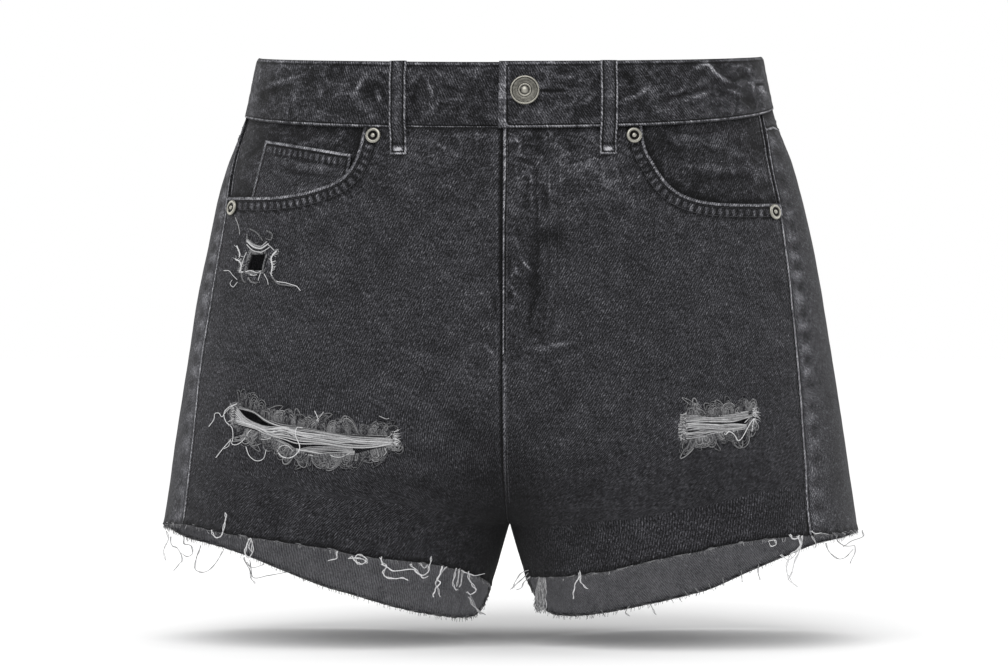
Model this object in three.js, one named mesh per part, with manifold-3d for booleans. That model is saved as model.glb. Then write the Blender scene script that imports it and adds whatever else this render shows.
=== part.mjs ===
// High-rise cut-off denim shorts, held open as if worn, with a scoop pocket and a coin pocket, a yoke,
// patch pockets behind, a waistband with five loops, a tack button, four rivets, rips and raw hems.
// Millimetres, +Z up. The origin is the middle of the waist opening, and the front faces -Y.
// "left" and "right" are the wearer's: the left half is at +X, and the right half at -X.
import * as THREE from "three";
import { mergeVertices } from "three/addons/utils/BufferGeometryUtils.js";
import Module from "manifold-3d";

const wasm = await Module();
wasm.setup();

// Driving dimensions
const CLOTH = 1.6; // one layer of denim with its seam allowance
const BAND = 2.6; // the folded waistband
const GAP = 0.3; // between pieces that are sewn to each other
const BAND_TOP = 2.4; // the waistband's upper edge at the sides
const FRONT_DIP = 8.2; // how far it dips at the centre front
const BACK_RISE = 1; // and rises at the centre back
const BAND_HEIGHT = { centre: 38, right: 34, left: 30 }; // the band buckles and looks lower at the sides
const GROOVE_TOP_Z = -110; // the two legs begin to show apart below this height
const PANEL_TOP_Z = -45; // about where the panels meet the waistband
const SIDE_HEM_Z = -280; // and where the side seams end
const CROTCH_Z = -276;
const LEG_FLARE = 0.3; // how fast the inner legs part below the crotch
const GRID = { front: { columns: 18, rows: 19 }, back: { columns: 17, rows: 16 } }; // facets of a panel
const LEFT = 1;
const RIGHT = -1;
const RAD = Math.PI / 180;

// The form: for each height the half width, the depth in front and behind, the power of the section's
// rounded outline, and the side seam's angle in front of the widest point, which the left leg turns forward.
const FORM = [
  { z: 12, half: 147.5, front: 88, back: 88, power: 2.3, seam: 13, twist: 4.5 },
  { z: 0, half: 151, front: 90, back: 91, power: 2.3, seam: 14, twist: 4.5 },
  { z: -36, half: 159, front: 94, back: 99, power: 2.35, seam: 15, twist: 5 },
  { z: -62, half: 169, front: 97, back: 107, power: 2.4, seam: 21, twist: 4.5 },
  { z: -90, half: 176.5, front: 100, back: 114, power: 2.4, seam: 24, twist: 2.5 },
  { z: -137, half: 186, front: 103, back: 122, power: 2.4, seam: 26, twist: 3 },
  { z: -185, half: 193.8, front: 105, back: 124, power: 2.35, seam: 29, twist: 4 },
  { z: -233, half: 201, front: 105, back: 121, power: 2.3, seam: 35, twist: 4.5 },
  { z: -278, half: 207.5, front: 103, back: 115, power: 2.2, seam: 41, twist: 5.5 },
  { z: -345, half: 214, front: 100, back: 108, power: 2.2, seam: 44, twist: 6 },
];

// The raw hem's height round each leg: angle from the outermost point, minus in front and plus behind.
const HEM = [
  { angle: -180, right: -314, left: -308 },
  { angle: -145, right: -302, left: -305 },
  { angle: -130, right: -297, left: -303 },
  { angle: -115, right: -293.6, left: -299.5 },
  { angle: -102, right: -291, left: -294 },
  { angle: -90, right: -286, left: -289 },
  { angle: -75, right: -282, left: -283 },
  { angle: -58, right: -278.5, left: -280 },
  { angle: -38, right: -274.5, left: -279.5 },
  { angle: 0, right: -278, left: -280 },
  { angle: 24, right: -287.5, left: -286.5 },
  { angle: 42, right: -294, left: -292 },
  { angle: 57, right: -301.5, left: -300.5 },
  { angle: 73, right: -312, left: -311 },
  { angle: 92, right: -324.5, left: -325 },
  { angle: 112, right: -333.5, left: -332.5 },
  { angle: 130, right: -337, left: -336 },
  { angle: 148, right: -337, left: -335.5 },
  { angle: 164, right: -332, left: -330 },
  { angle: 180, right: -316, left: -311 },
];

// The largest soft folds: a ridge (plus) or trough (minus) along a line of angle and height on one half.
const FOLDS = [
  { side: LEFT, angle: -100, z: -205, toAngle: -62, toZ: -180, width: 11, depth: -1.6 },
  { side: LEFT, angle: -118, z: -238, toAngle: -70, toZ: -222, width: 9, depth: 1.4 },
  { side: RIGHT, angle: -100, z: -200, toAngle: -66, toZ: -172, width: 11, depth: -1.5 },
  { side: RIGHT, angle: -116, z: -240, toAngle: -64, toZ: -252, width: 10, depth: 1.3 },
  { side: LEFT, angle: -84, z: -262, toAngle: -80, toZ: -300, width: 16, depth: -2.2 },
  { side: RIGHT, angle: -78, z: -262, toAngle: -72, toZ: -300, width: 15, depth: -2 },
  { side: LEFT, angle: 115, z: -243, toAngle: 58, toZ: -232, width: 12, depth: -3 },
  { side: RIGHT, angle: 113, z: -247, toAngle: 54, toZ: -238, width: 12, depth: -3 },
  { side: LEFT, angle: 120, z: -268, toAngle: 74, toZ: -262, width: 9, depth: 2 },
  { side: RIGHT, angle: 122, z: -272, toAngle: 70, toZ: -264, width: 9, depth: 2 },
  { side: LEFT, angle: 96, z: -285, toAngle: 92, toZ: -330, width: 18, depth: 2.6 },
  { side: RIGHT, angle: 90, z: -285, toAngle: 88, toZ: -330, width: 18, depth: 2.6 },
];

// The scoop pockets' mouths in front view, from the waistband down to the side seam: the height of each side's
// edge at a distance from the middle.
const MOUTH = [
  { x: 80, right: -36, left: -41 },
  { x: 81.4, right: -44, left: -52 },
  { x: 83.5, right: -54, left: -58.5 },
  { x: 86.5, right: -62.5, left: -63.5 },
  { x: 91, right: -69.5, left: -71 },
  { x: 97, right: -74, left: -77.8 },
  { x: 106, right: -77.7, left: -83.2 },
  { x: 119, right: -81, left: -86.4 },
  { x: 137, right: -82.8, left: -87.2 },
  { x: 158, right: -82.3, left: -86.6 },
  { x: 192, right: -81.5, left: -86 },
];
const COIN = [
  { x: -141.7, z: -48.8 },
  { x: -88.5, z: -58.5 },
  { x: -94, z: -94 },
  { x: -152.5, z: -94 },
];

// The rips in front view. Each outline goes round the opening.
const RIPS = {
  hole_threads: [
    { x: -148.3, z: -116 },
    { x: -138.8, z: -116 },
    { x: -141.3, z: -126.3 },
    { x: -151.2, z: -125.8 },
  ],
  rip_threads_right: [
    { x: -157, z: -209 },
    { x: -153.5, z: -204 },
    { x: -147, z: -205.5 },
    { x: -135.5, z: -211.5 },
    { x: -118, z: -215.3 },
    { x: -95, z: -219 },
    { x: -62, z: -220.7 },
    { x: -62.5, z: -225 },
    { x: -67, z: -228.6 },
    { x: -84, z: -233 },
    { x: -112, z: -233.2 },
    { x: -122, z: -230 },
    { x: -135, z: -223 },
    { x: -155, z: -217 },
  ],
  rip_threads_left: [
    { x: 105, z: -209.5 },
    { x: 121, z: -209.5 },
    { x: 130, z: -208.3 },
    { x: 144.5, z: -207 },
    { x: 143, z: -213 },
    { x: 139, z: -218 },
    { x: 122, z: -221.3 },
    { x: 105, z: -225 },
  ],
};

// Belt loops, hardware and patch pockets
const LOOP = { width: 10, cloth: 1.5, height: 54, frontX: 60.5, backArc: 92 };
const LOOP_CURVE = [
  { down: -0.4, lift: 3.9 },
  { down: 3, lift: 3.9 },
  { down: 9, lift: 5.3 },
  { down: 24, lift: 5.8 },
  { down: 35, lift: 4.8 },
  { down: 42, lift: 3 },
  { down: 48, lift: 2.2 },
  { down: 54, lift: 2.2 },
]; // how far the strap's outer face stands off the body, down its length
// How far each end of the waistband reaches past the centre front, and how it stands off the body there.
const LAP = { overX: 2.7, underX: 42, over: 1.3, under: -2.4, lift: 0.9 };
const FLY = { lift: 0.9, width: 40, length: 133, fadeFrom: 0.6 };
const BUTTON = { x: 12.5, drop: 16.7, radius: 8.5, shank: 2.1, eyelet: 2.8, slit: 17, slitWidth: 0.8 };
const RIVET = { radius: 4.6, height: 1.7 };
const RIVET_PLACES = {
  rivet_right_upper: { x: -75.3, z: -48 },
  rivet_right_lower: { x: -161, z: -88.6 },
  rivet_left_upper: { x: 75.3, z: -48.2 },
  rivet_left_lower: { x: 156.6, z: -91.6 },
};
const YOKE = { sideDrop: 10, centreDrop: 54 };
const POCKET = { arc: 26, width: 122, drop: 12, height: 132, point: 16, taper: 7, cloth: 1.5 };
const FACING = { innerX: 68, bottomZ: -106, rise: 10 };
const COIN_CLOTH = 1.1;
const SIDE_CUT = { x: 192, z: -20 }; // a mouth's outline closes beyond the side seam, above the panel

const COLOURS = {
  denim: { color: 0x3d3d40, roughness: 0.95, metalness: 0 },
  thread: { color: 0x9a9a9c, roughness: 0.9, metalness: 0 },
  metal: { color: 0x85827a, roughness: 0.42, metalness: 0.9 },
};
const MATERIALS = Object.fromEntries(
  Object.entries(COLOURS).map(([name, look]) => [name, new THREE.MeshStandardMaterial(look)]),
);

// Reading the tables

const sideName = (side) => (side === LEFT ? "left" : "right");
const clamp = (value, low, high) => Math.min(high, Math.max(low, value));
const mix = (a, b, share) => a + (b - a) * share;

// A smooth curve through one column of a table, read at a value of another column.
function readTable(rows, along, column, at) {
  const ordered = rows[0][along] < rows[rows.length - 1][along] ? rows : [...rows].reverse();
  const last = ordered.length - 2;
  let i = ordered.findIndex((row) => row[along] > at) - 1;
  i = at >= ordered[ordered.length - 1][along] ? last : clamp(i, 0, last);
  const [a, b] = [ordered[i], ordered[i + 1]];
  const slope = (p, q) => (q[column] - p[column]) / (q[along] - p[along]);
  const before = slope(ordered[Math.max(i - 1, 0)], b);
  const after = slope(a, ordered[Math.min(i + 2, last + 1)]);
  const step = b[along] - a[along];
  const t = clamp((at - a[along]) / step, 0, 1);
  const [t2, t3] = [t * t, t * t * t];
  return (
    (2 * t3 - 3 * t2 + 1) * a[column] +
    (t3 - 2 * t2 + t) * step * before +
    (3 * t2 - 2 * t3) * b[column] +
    (t3 - t2) * step * after
  );
}

// The body's form

function section(z) {
  const row = (column) => readTable(FORM, "z", column, z);
  const half = row("half");
  let radius;
  if (z >= CROTCH_Z) {
    const down = clamp((GROOVE_TOP_Z - z) / (GROOVE_TOP_Z - CROTCH_Z), 0, 1);
    radius = half / (1 + down * down);
  } else {
    radius = (half - LEG_FLARE * (CROTCH_Z - z)) / 2;
  }
  return { radius, centre: half - radius, front: row("front"), back: row("back"), power: row("power") };
}

function rawSkin(side, angle, z) {
  const s = section(z);
  const [c, d] = [Math.cos(angle), Math.sin(angle)];
  const out = s.radius * Math.sign(c) * Math.abs(c) ** (2 / s.power);
  const depth = (d < 0 ? s.front : s.back) * Math.sign(d) * Math.abs(d) ** (2 / s.power);
  return new THREE.Vector3(side * (s.centre + out + GAP / 2), depth, z);
}

function skinNormal(side, angle, z) {
  const step = 0.004;
  const across = rawSkin(side, angle + step, z).sub(rawSkin(side, angle - step, z));
  const up = rawSkin(side, angle, z + 0.6).sub(rawSkin(side, angle, z - 0.6));
  const normal = across.cross(up).normalize();
  return side === LEFT ? normal : normal.negate();
}

const smoothBump = (t) => (Math.abs(t) >= 1 ? 0 : (1 - t * t) ** 2);

// The height of the soft folds at a place, from its distance to each fold's line.
function foldRelief(side, angle, z) {
  const scale = 110 * RAD; // about one degree of angle as millimetres of cloth
  const [px, pz] = [(angle / RAD) * scale, z];
  return FOLDS.filter((fold) => fold.side === side).reduce((sum, fold) => {
    const [ax, bx] = [fold.angle * scale, fold.toAngle * scale];
    const [dx, dz] = [bx - ax, fold.toZ - fold.z];
    const length = Math.hypot(dx, dz);
    const t = ((px - ax) * dx + (pz - fold.z) * dz) / (length * length);
    const away = Math.abs((px - ax) * dz - (pz - fold.z) * dx) / length;
    return sum + fold.depth * smoothBump(away / fold.width) * smoothBump((t - 0.5) / 0.75);
  }, 0);
}

// A point of the cloth's outer face, moved out by lift. Front pieces stand GAP / 2 forward of the seams.
function skin(side, angle, z, lift = 0) {
  const point = rawSkin(side, angle, z);
  point.addScaledVector(skinNormal(side, angle, z), lift + foldRelief(side, angle, z));
  return point;
}

const seamAngle = (side, z) =>
  -RAD * (readTable(FORM, "z", "seam", z) + side * readTable(FORM, "z", "twist", z));

// The angle at which a section meets the middle plane, or the innermost point of the leg.
function innerAngle(z) {
  const s = section(z);
  const share = clamp(s.centre / s.radius, 0, 1) ** (s.power / 2);
  return Math.PI - Math.acos(share);
}

function angleAtX(z, x) {
  const s = section(z);
  const share = clamp((Math.abs(x) - s.centre - GAP / 2) / s.radius, -1, 1);
  return -Math.acos(Math.sign(share) * Math.abs(share) ** (s.power / 2));
}

// The angle whose distance along the back of a section from the middle plane is arc.
function angleAtArc(z, arc) {
  const [steps, inner] = [90, innerAngle(z)];
  let [angle, run] = [inner, 0];
  for (let i = 1; i <= steps && run < arc; i++) {
    const next = inner * (1 - i / steps);
    const stretch = rawSkin(LEFT, angle, z).distanceTo(rawSkin(LEFT, next, z));
    if (run + stretch >= arc) return mix(angle, next, (arc - run) / stretch);
    [angle, run] = [next, run + stretch];
  }
  return angle;
}

const bandTop = (angle) => BAND_TOP + (angle < 0 ? -FRONT_DIP : BACK_RISE) * Math.abs(Math.sin(angle));
const bandBottom = (side, angle) =>
  bandTop(angle) - mix(BAND_HEIGHT[sideName(side)], BAND_HEIGHT.centre, Math.abs(Math.sin(angle)));
const hemZ = (side, angle) => readTable(HEM, "angle", sideName(side), angle / RAD);
const yokeZ = (side, angle) => {
  const share = clamp((angle / RAD + 14) / 104, 0, 1);
  return bandBottom(side, angle) - mix(YOKE.sideDrop, YOKE.centreDrop, share);
};

// Walls of cloth

// A closed wall between two grids of points, the cloth's outer and inner face.
function closeWall(outer, inner) {
  const [rows, columns] = [outer.length, outer[0].length];
  const points = [...outer.flat(), ...inner.flat()];
  const at = (layer, i, j) => layer * rows * columns + i * columns + j;
  const triangles = [];
  const quad = (a, b, c, d) => triangles.push(a, b, c, a, c, d);
  for (let i = 0; i < rows - 1; i++)
    for (let j = 0; j < columns - 1; j++) {
      quad(at(0, i, j), at(0, i + 1, j), at(0, i + 1, j + 1), at(0, i, j + 1));
      quad(at(1, i, j), at(1, i, j + 1), at(1, i + 1, j + 1), at(1, i + 1, j));
    }
  for (let j = 0; j < columns - 1; j++) {
    quad(at(0, 0, j), at(0, 0, j + 1), at(1, 0, j + 1), at(1, 0, j));
    quad(at(0, rows - 1, j + 1), at(0, rows - 1, j), at(1, rows - 1, j), at(1, rows - 1, j + 1));
  }
  for (let i = 0; i < rows - 1; i++) {
    quad(at(0, i + 1, 0), at(0, i, 0), at(1, i, 0), at(1, i + 1, 0));
    quad(at(0, i, columns - 1), at(0, i + 1, columns - 1), at(1, i + 1, columns - 1), at(1, i, columns - 1));
  }
  return solidFrom(points, triangles);
}

// A manifold-3d solid from points and triangles, turned to face out.
function solidFrom(points, triangles) {
  const geometry = new THREE.BufferGeometry().setFromPoints(points);
  geometry.setIndex(triangles);
  return solidOfGeometry(geometry);
}

function solidOfGeometry(geometry, matrix = new THREE.Matrix4()) {
  const bare = geometry.clone().applyMatrix4(matrix);
  for (const name of Object.keys(bare.attributes)) if (name !== "position") bare.deleteAttribute(name);
  const merged = mergeVertices(bare, 1e-4);
  const make = (triVerts) =>
    new wasm.Manifold(
      new wasm.Mesh({ numProp: 3, vertProperties: merged.attributes.position.array, triVerts }),
    );
  const index = new Uint32Array(merged.index.array);
  const made = make(index);
  if (made.volume() > 0) return made;
  for (let i = 0; i < index.length; i += 3) [index[i + 1], index[i + 2]] = [index[i + 2], index[i + 1]];
  return make(index);
}

// A wall that follows the body: place(u, v) gives the angle and height, lift(u, v) its outer face.
function bodyWall({ side, place, columns, rows, lift = () => 0, cloth = CLOTH, back = false }) {
  const shift = new THREE.Vector3(0, back ? GAP / 2 : -GAP / 2, 0);
  const grid = (sink) =>
    Array.from({ length: rows + 1 }, (_, i) =>
      Array.from({ length: columns + 1 }, (_, j) => {
        const [u, v] = [j / columns, i / rows];
        const { angle, z } = place(u, v);
        return skin(side, angle, z, lift(u, v) - sink).add(shift);
      }),
    );
  return closeWall(grid(0), grid(cloth));
}

// The heights down a panel's inner edge, so that its rows are evenly spaced round the crotch curve.
function innerEdgeShares(top, bottom, sign) {
  const steps = 160;
  const runs = [0];
  let before = null;
  for (let i = 0; i <= steps; i++) {
    const z = mix(top, bottom, i / steps);
    const point = rawSkin(LEFT, sign * innerAngle(z), z);
    if (before) runs.push(runs[i - 1] + point.distanceTo(before));
    before = point;
  }
  return (v) => {
    const wanted = v * runs[steps];
    const i = clamp(runs.findIndex((run) => run > wanted) - 1, 0, steps - 1);
    if (v >= 1) return 1;
    return (i + (wanted - runs[i]) / (runs[i + 1] - runs[i])) / steps;
  };
}

// Places on a quarter of the shorts: u from the middle seam and inseam to the side seam, v from top to hem.
function quarterPlace(side, back) {
  const sign = back ? 1 : -1;
  const topAngle = (u) => mix(sign * (Math.PI / 2), seamAngle(side, PANEL_TOP_Z), u);
  const topZ = (u) => (back ? yokeZ(side, topAngle(u)) : bandBottom(side, topAngle(u))) - GAP;
  const hemAngle = (u) => mix(sign * Math.PI, seamAngle(side, SIDE_HEM_Z), u);
  const share = innerEdgeShares(topZ(0), hemZ(side, sign * Math.PI), sign);
  return (u, v) => {
    const run = mix(v, share(v), (1 - u) ** 1.5);
    const z = mix(topZ(u), hemZ(side, hemAngle(u)), run);
    return { angle: mix(sign * innerAngle(z), seamAngle(side, z), u), z };
  };
}

// Cutting tools

const shapeOf = (rows) => new THREE.Shape(rows.map((row) => new THREE.Vector2(row.x, row.z)));

// A prism through the front of the shorts, from an outline in front view.
function frontPrism(rows, fromY = -160, toY = 20) {
  const geometry = new THREE.ExtrudeGeometry(shapeOf(rows), { depth: toY - fromY, bevelEnabled: false });
  const turn = new THREE.Matrix4().makeBasis(
    new THREE.Vector3(1, 0, 0),
    new THREE.Vector3(0, 0, 1),
    new THREE.Vector3(0, -1, 0),
  );
  return solidOfGeometry(geometry, turn.setPosition(0, toY, 0));
}

// The same outline with every edge moved in.
function inset(rows, by) {
  const turn = Math.sign(THREE.ShapeUtils.area(rows.map((row) => new THREE.Vector2(row.x, row.z))));
  const inward = (a, b) => new THREE.Vector2(a.z - b.z, b.x - a.x).normalize().multiplyScalar(turn);
  return rows.map((row, i) => {
    const first = inward(rows.at(i - 1), row);
    const second = inward(row, rows[(i + 1) % rows.length]);
    const move = first.clone().add(second).multiplyScalar(by / (1 + first.dot(second)));
    return { x: row.x + move.x, z: row.z + move.y };
  });
}

function mouthOutline(side, clear = 0) {
  const [aside, at] = [clear * 0.7, (x, z) => ({ x: side * x, z })];
  const curve = MOUTH.map((row) => at(row.x + aside, row[sideName(side)] + clear));
  return [...curve, at(SIDE_CUT.x, SIDE_CUT.z), at(MOUTH[0].x + aside, SIDE_CUT.z)];
}

// The pieces

const group = new THREE.Group();

function addPiece(name, solid, look = "denim") {
  const made = solid.getMesh();
  const points = [];
  for (let i = 0; i < made.numVert; i++)
    points.push(...made.vertProperties.slice(i * made.numProp, i * made.numProp + 3));
  const geometry = new THREE.BufferGeometry();
  geometry.setAttribute("position", new THREE.Float32BufferAttribute(points, 3));
  geometry.setIndex([...made.triVerts]);
  geometry.computeVertexNormals();
  const mesh = new THREE.Mesh(geometry, MATERIALS[look]);
  mesh.name = name;
  group.add(mesh);
}

// The left front stands proud along the fly, where it lies over the right one.
function flyLift({ angle, z }) {
  const x = Math.abs(rawSkin(LEFT, angle, z).x);
  const down = (bandBottom(LEFT, -Math.PI / 2) - z) / FLY.length - FLY.fadeFrom;
  return FLY.lift * smoothBump(clamp(x / FLY.width, 0, 1)) * smoothBump(clamp(down, 0, 1));
}

function frontPanel(side) {
  const place = quarterPlace(side, false);
  const lift = (u, v) => (side === LEFT ? flyLift(place(u, v)) : 0);
  let panel = bodyWall({ side, place, ...GRID.front, lift });
  panel = panel.subtract(frontPrism(mouthOutline(side)));
  for (const rows of Object.values(RIPS))
    if (Math.sign(rows[0].x) === side) panel = panel.subtract(frontPrism(rows));
  return panel;
}

function backPanel(side) {
  return bodyWall({ side, place: quarterPlace(side, true), ...GRID.back, back: true });
}

function yoke(side) {
  const place = (u, v) => {
    const angle = mix(Math.PI / 2, seamAngle(side, PANEL_TOP_Z), u);
    const z = mix(bandBottom(side, angle) - GAP, yokeZ(side, angle), v);
    return { angle: mix(Math.PI / 2, seamAngle(side, z), u), z };
  };
  return bodyWall({ side, place, columns: GRID.back.columns, rows: 3, back: true });
}

function facing(side) {
  const { innerX, bottomZ, rise } = FACING;
  const place = (u, v) => {
    const top = bandBottom(side, mix(angleAtX(PANEL_TOP_Z, innerX), seamAngle(side, PANEL_TOP_Z), u)) - GAP;
    const z = mix(top, bottomZ + rise * (1 - u), v);
    return { angle: mix(angleAtX(z, innerX), seamAngle(side, z), u), z };
  };
  return bodyWall({ side, place, columns: 9, rows: 6, lift: () => -(CLOTH + GAP) });
}

function coinPocket() {
  const [topLeft, topRight, lowRight, lowLeft] = COIN;
  const place = (u, v) => {
    const x = mix(mix(topRight.x, topLeft.x, u), mix(lowRight.x, lowLeft.x, u), v);
    const z = mix(mix(topRight.z, topLeft.z, u), mix(lowRight.z, lowLeft.z, u), v);
    return { angle: angleAtX(z, x), z };
  };
  const lift = () => COIN_CLOTH - CLOTH;
  const patch = bodyWall({ side: RIGHT, place, columns: 6, rows: 4, cloth: COIN_CLOTH, lift });
  return patch.intersect(frontPrism(mouthOutline(RIGHT, GAP)));
}

function backPocket(side) {
  const place = (u, v) => {
    const topZ = yokeZ(side, angleAtArc(GROOVE_TOP_Z, POCKET.arc + POCKET.width * u)) - POCKET.drop;
    const point = POCKET.point * (1 - Math.abs(2 * u - 1));
    const z = topZ - (POCKET.height - POCKET.point + point) * v;
    const narrow = POCKET.taper * v;
    return { angle: angleAtArc(z, POCKET.arc + narrow + (POCKET.width - 2 * narrow) * u), z };
  };
  const lift = () => GAP + POCKET.cloth;
  return bodyWall({ side, place, columns: 10, rows: 8, back: true, cloth: POCKET.cloth, lift });
}

// The waistband goes from its inner end behind the fly, round the back, to its outer end at the fly.
function waistband() {
  const steps = { round: 60, up: 2 };
  const front = -Math.PI / 2;
  const past = (x) => 2 * front - angleAtX(-BAND_HEIGHT.centre / 2, x);
  const stations = Array.from({ length: steps.round + 1 }, (_, i) => {
    const t = i / steps.round;
    if (t < 0.5) return { side: RIGHT, angle: mix(past(LAP.underX), Math.PI / 2, t * 2), t };
    return { side: LEFT, angle: mix(Math.PI / 2, past(LAP.overX), t * 2 - 1), t };
  });
  const lift = (t) => {
    const under = LAP.under * smoothBump(clamp(t / 0.12, 0, 1));
    const over = LAP.over * smoothBump(clamp((1 - t) / 0.14, 0, 1));
    return LAP.lift + under + over;
  };
  const grid = (sink) =>
    stations.map(({ side, angle, t }) =>
      Array.from({ length: steps.up + 1 }, (_, j) => {
        const [half, round] = angle < front ? [-side, 2 * front - angle] : [side, angle];
        const z = mix(bandBottom(half, round), bandTop(round), j / steps.up);
        const point = skin(half, round, z, lift(t) - sink);
        point.x -= (half * GAP) / 2;
        return point;
      }),
    );
  return closeWall(grid(0), grid(BAND)).subtract(buttonhole());
}

// A round eyelet with a slit, through the outer end of the band only.
function buttonhole() {
  const z = bandTop(-Math.PI / 2) - BUTTON.drop;
  const { x, eyelet, slit, slitWidth } = BUTTON;
  const [steps, open] = [12, 0.5];
  const outline = Array.from({ length: steps + 1 }, (_, i) => {
    const a = mix(open, 2 * Math.PI - open, i / steps);
    return { x: x + eyelet * Math.cos(a), z: z + eyelet * Math.sin(a) };
  });
  outline.push({ x: x + slit, z: z - slitWidth / 2 }, { x: x + slit, z: z + slitWidth / 2 });
  const outerFace = LAP.lift + LAP.over;
  const between = skin(LEFT, angleAtX(z, x), z, outerFace - BAND - 0.45).y;
  return frontPrism(outline, -140, between);
}

// A strap from the waistband's top down over its lower seam, tacked at both ends. angleAt gives its middle line.
function beltLoop(side, angleAt) {
  const steps = 11;
  const middleAngle = angleAt(-BAND_HEIGHT.centre);
  const top = bandTop(middleAngle);
  const outward = skinNormal(side, middleAngle, top - LOOP.height / 2);
  const along = outward.cross(new THREE.Vector3(0, 0, 1)).normalize();
  const grid = (sink) =>
    Array.from({ length: steps + 1 }, (_, i) => {
      const down = mix(LOOP_CURVE[0].down, LOOP.height, i / steps);
      const lift = readTable(LOOP_CURVE, "down", "lift", down) - sink;
      const centre = skin(side, angleAt(top - down), top - down, lift);
      return [-0.5, 0.5].map((t) => centre.clone().addScaledVector(along, t * LOOP.width));
    });
  return closeWall(grid(0), grid(LOOP.cloth));
}

// Hardware, turned round its own axis and set on the cloth

function setOn(profile, place, segments = 16) {
  const lathe = new THREE.LatheGeometry(profile.map(([r, h]) => new THREE.Vector2(r, h)), segments);
  const turn = new THREE.Matrix4().makeRotationFromQuaternion(
    new THREE.Quaternion().setFromUnitVectors(new THREE.Vector3(0, 1, 0), place.normal),
  );
  return solidOfGeometry(lathe, turn.setPosition(place.point));
}

function rivet({ x, z }) {
  const side = Math.sign(x);
  const angle = angleAtX(z, x);
  const point = skin(side, angle, z, GAP + 0.05).add(new THREE.Vector3(0, -GAP / 2, 0));
  const [r, h] = [RIVET.radius, RIVET.height];
  const profile = [
    [0, 0], [r, 0], [r, h * 0.35], [r * 0.86, h * 0.72], [r * 0.6, h * 0.8], [r * 0.46, h * 0.45],
    [r * 0.3, h * 0.5], [r * 0.24, h * 0.95], [0, h],
  ];
  return setOn(profile, { point, normal: skinNormal(side, angle, z) });
}

function button() {
  const z = bandTop(-Math.PI / 2) - BUTTON.drop;
  const angle = angleAtX(z, BUTTON.x);
  const seat = skin(LEFT, angle, z, -1);
  const r = BUTTON.radius;
  const profile = [
    [0, 0], [BUTTON.shank, 0], [BUTTON.shank, 3.6], [r * 0.84, 3.6], [r, 4.5], [r, 5.5], [r * 0.93, 6.2],
    [r * 0.8, 6], [r * 0.5, 5.9], [r * 0.42, 6.2], [r * 0.3, 6], [0, 6.4],
  ];
  return setOn(profile, { point: seat, normal: skinNormal(LEFT, angle, z) }, 24);
}

// Loose yarn

// A tapering strand of three sides along points.
function strand(points, width) {
  let first = new THREE.Vector3(0.9, -0.3, 0.1);
  const rings = points.map((point, i) => {
    const ahead = points[Math.min(i + 1, points.length - 1)];
    const along = ahead.clone().sub(points[Math.max(i - 1, 0)]).normalize();
    first = first.clone().addScaledVector(along, -first.dot(along)).normalize();
    const second = along.clone().cross(first);
    const r = (width / 2) * mix(1, 0.6, i / (points.length - 1));
    return [0, 1, 2].map((k) => {
      const turn = (k * 2 * Math.PI) / 3;
      const across = point.clone().addScaledVector(first, r * Math.cos(turn));
      return across.addScaledVector(second, r * Math.sin(turn));
    });
  });
  const [count, flat, triangles] = [rings.length, rings.flat(), []];
  for (let i = 0; i < count - 1; i++)
    for (let k = 0; k < 3; k++) {
      const [a, b] = [i * 3 + k, i * 3 + ((k + 1) % 3)];
      triangles.push(a, b, b + 3, a, b + 3, a + 3);
    }
  const end = (count - 1) * 3;
  triangles.push(0, 2, 1, end, end + 1, end + 2);
  return solidFrom(flat, triangles);
}

// The long threads of each hem in the photograph: angle, length, and how far each swings sideways and out.
const HEM_THREADS = {
  front_right: [
    { angle: -150, length: 17, swing: 3, out: 1 }, { angle: -138, length: 21, swing: -4, out: 2 },
    { angle: -126, length: 14, swing: 5, out: 1 }, { angle: -114, length: 12, swing: -6, out: 2 },
    { angle: -104, length: 9, swing: 8, out: 1 }, { angle: -93, length: 6, swing: -3, out: 1 },
    { angle: -76, length: 14, swing: 2, out: 2 }, { angle: -57, length: 9, swing: 4, out: 2 },
  ],
  front_left: [
    { angle: -158, length: 22, swing: 3, out: 1 }, { angle: -150, length: 25, swing: -2, out: 2 },
    { angle: -143, length: 24, swing: 3, out: 1 }, { angle: -128, length: 16, swing: -3, out: 1 },
    { angle: -74, length: 8, swing: 4, out: 1 }, { angle: -62, length: 13, swing: -2, out: 2 },
    { angle: -56, length: 15, swing: 5, out: 1 }, { angle: -50, length: 7, swing: 4, out: 1 },
  ],
  back_right: [
    { angle: -20, length: 17, swing: -3, out: 2 }, { angle: -6, length: 22, swing: 4, out: 2 },
    { angle: 10, length: 25, swing: -5, out: 2 }, { angle: 26, length: 24, swing: 3, out: 1 },
    { angle: 42, length: 20, swing: -4, out: 2 }, { angle: 58, length: 12, swing: 3, out: 1 },
  ],
  back_left: [
    { angle: -26, length: 19, swing: 4, out: 2 }, { angle: -8, length: 24, swing: -4, out: 2 },
    { angle: 12, length: 22, swing: 5, out: 2 }, { angle: 30, length: 26, swing: -3, out: 1 },
    { angle: 46, length: 16, swing: 2, out: 2 }, { angle: 62, length: 9, swing: -2, out: 1 },
  ],
};
const FRAY = { strip: 1.3, cloth: 1.1, pitch: 13, short: 3.2, width: 0.9 };

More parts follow.
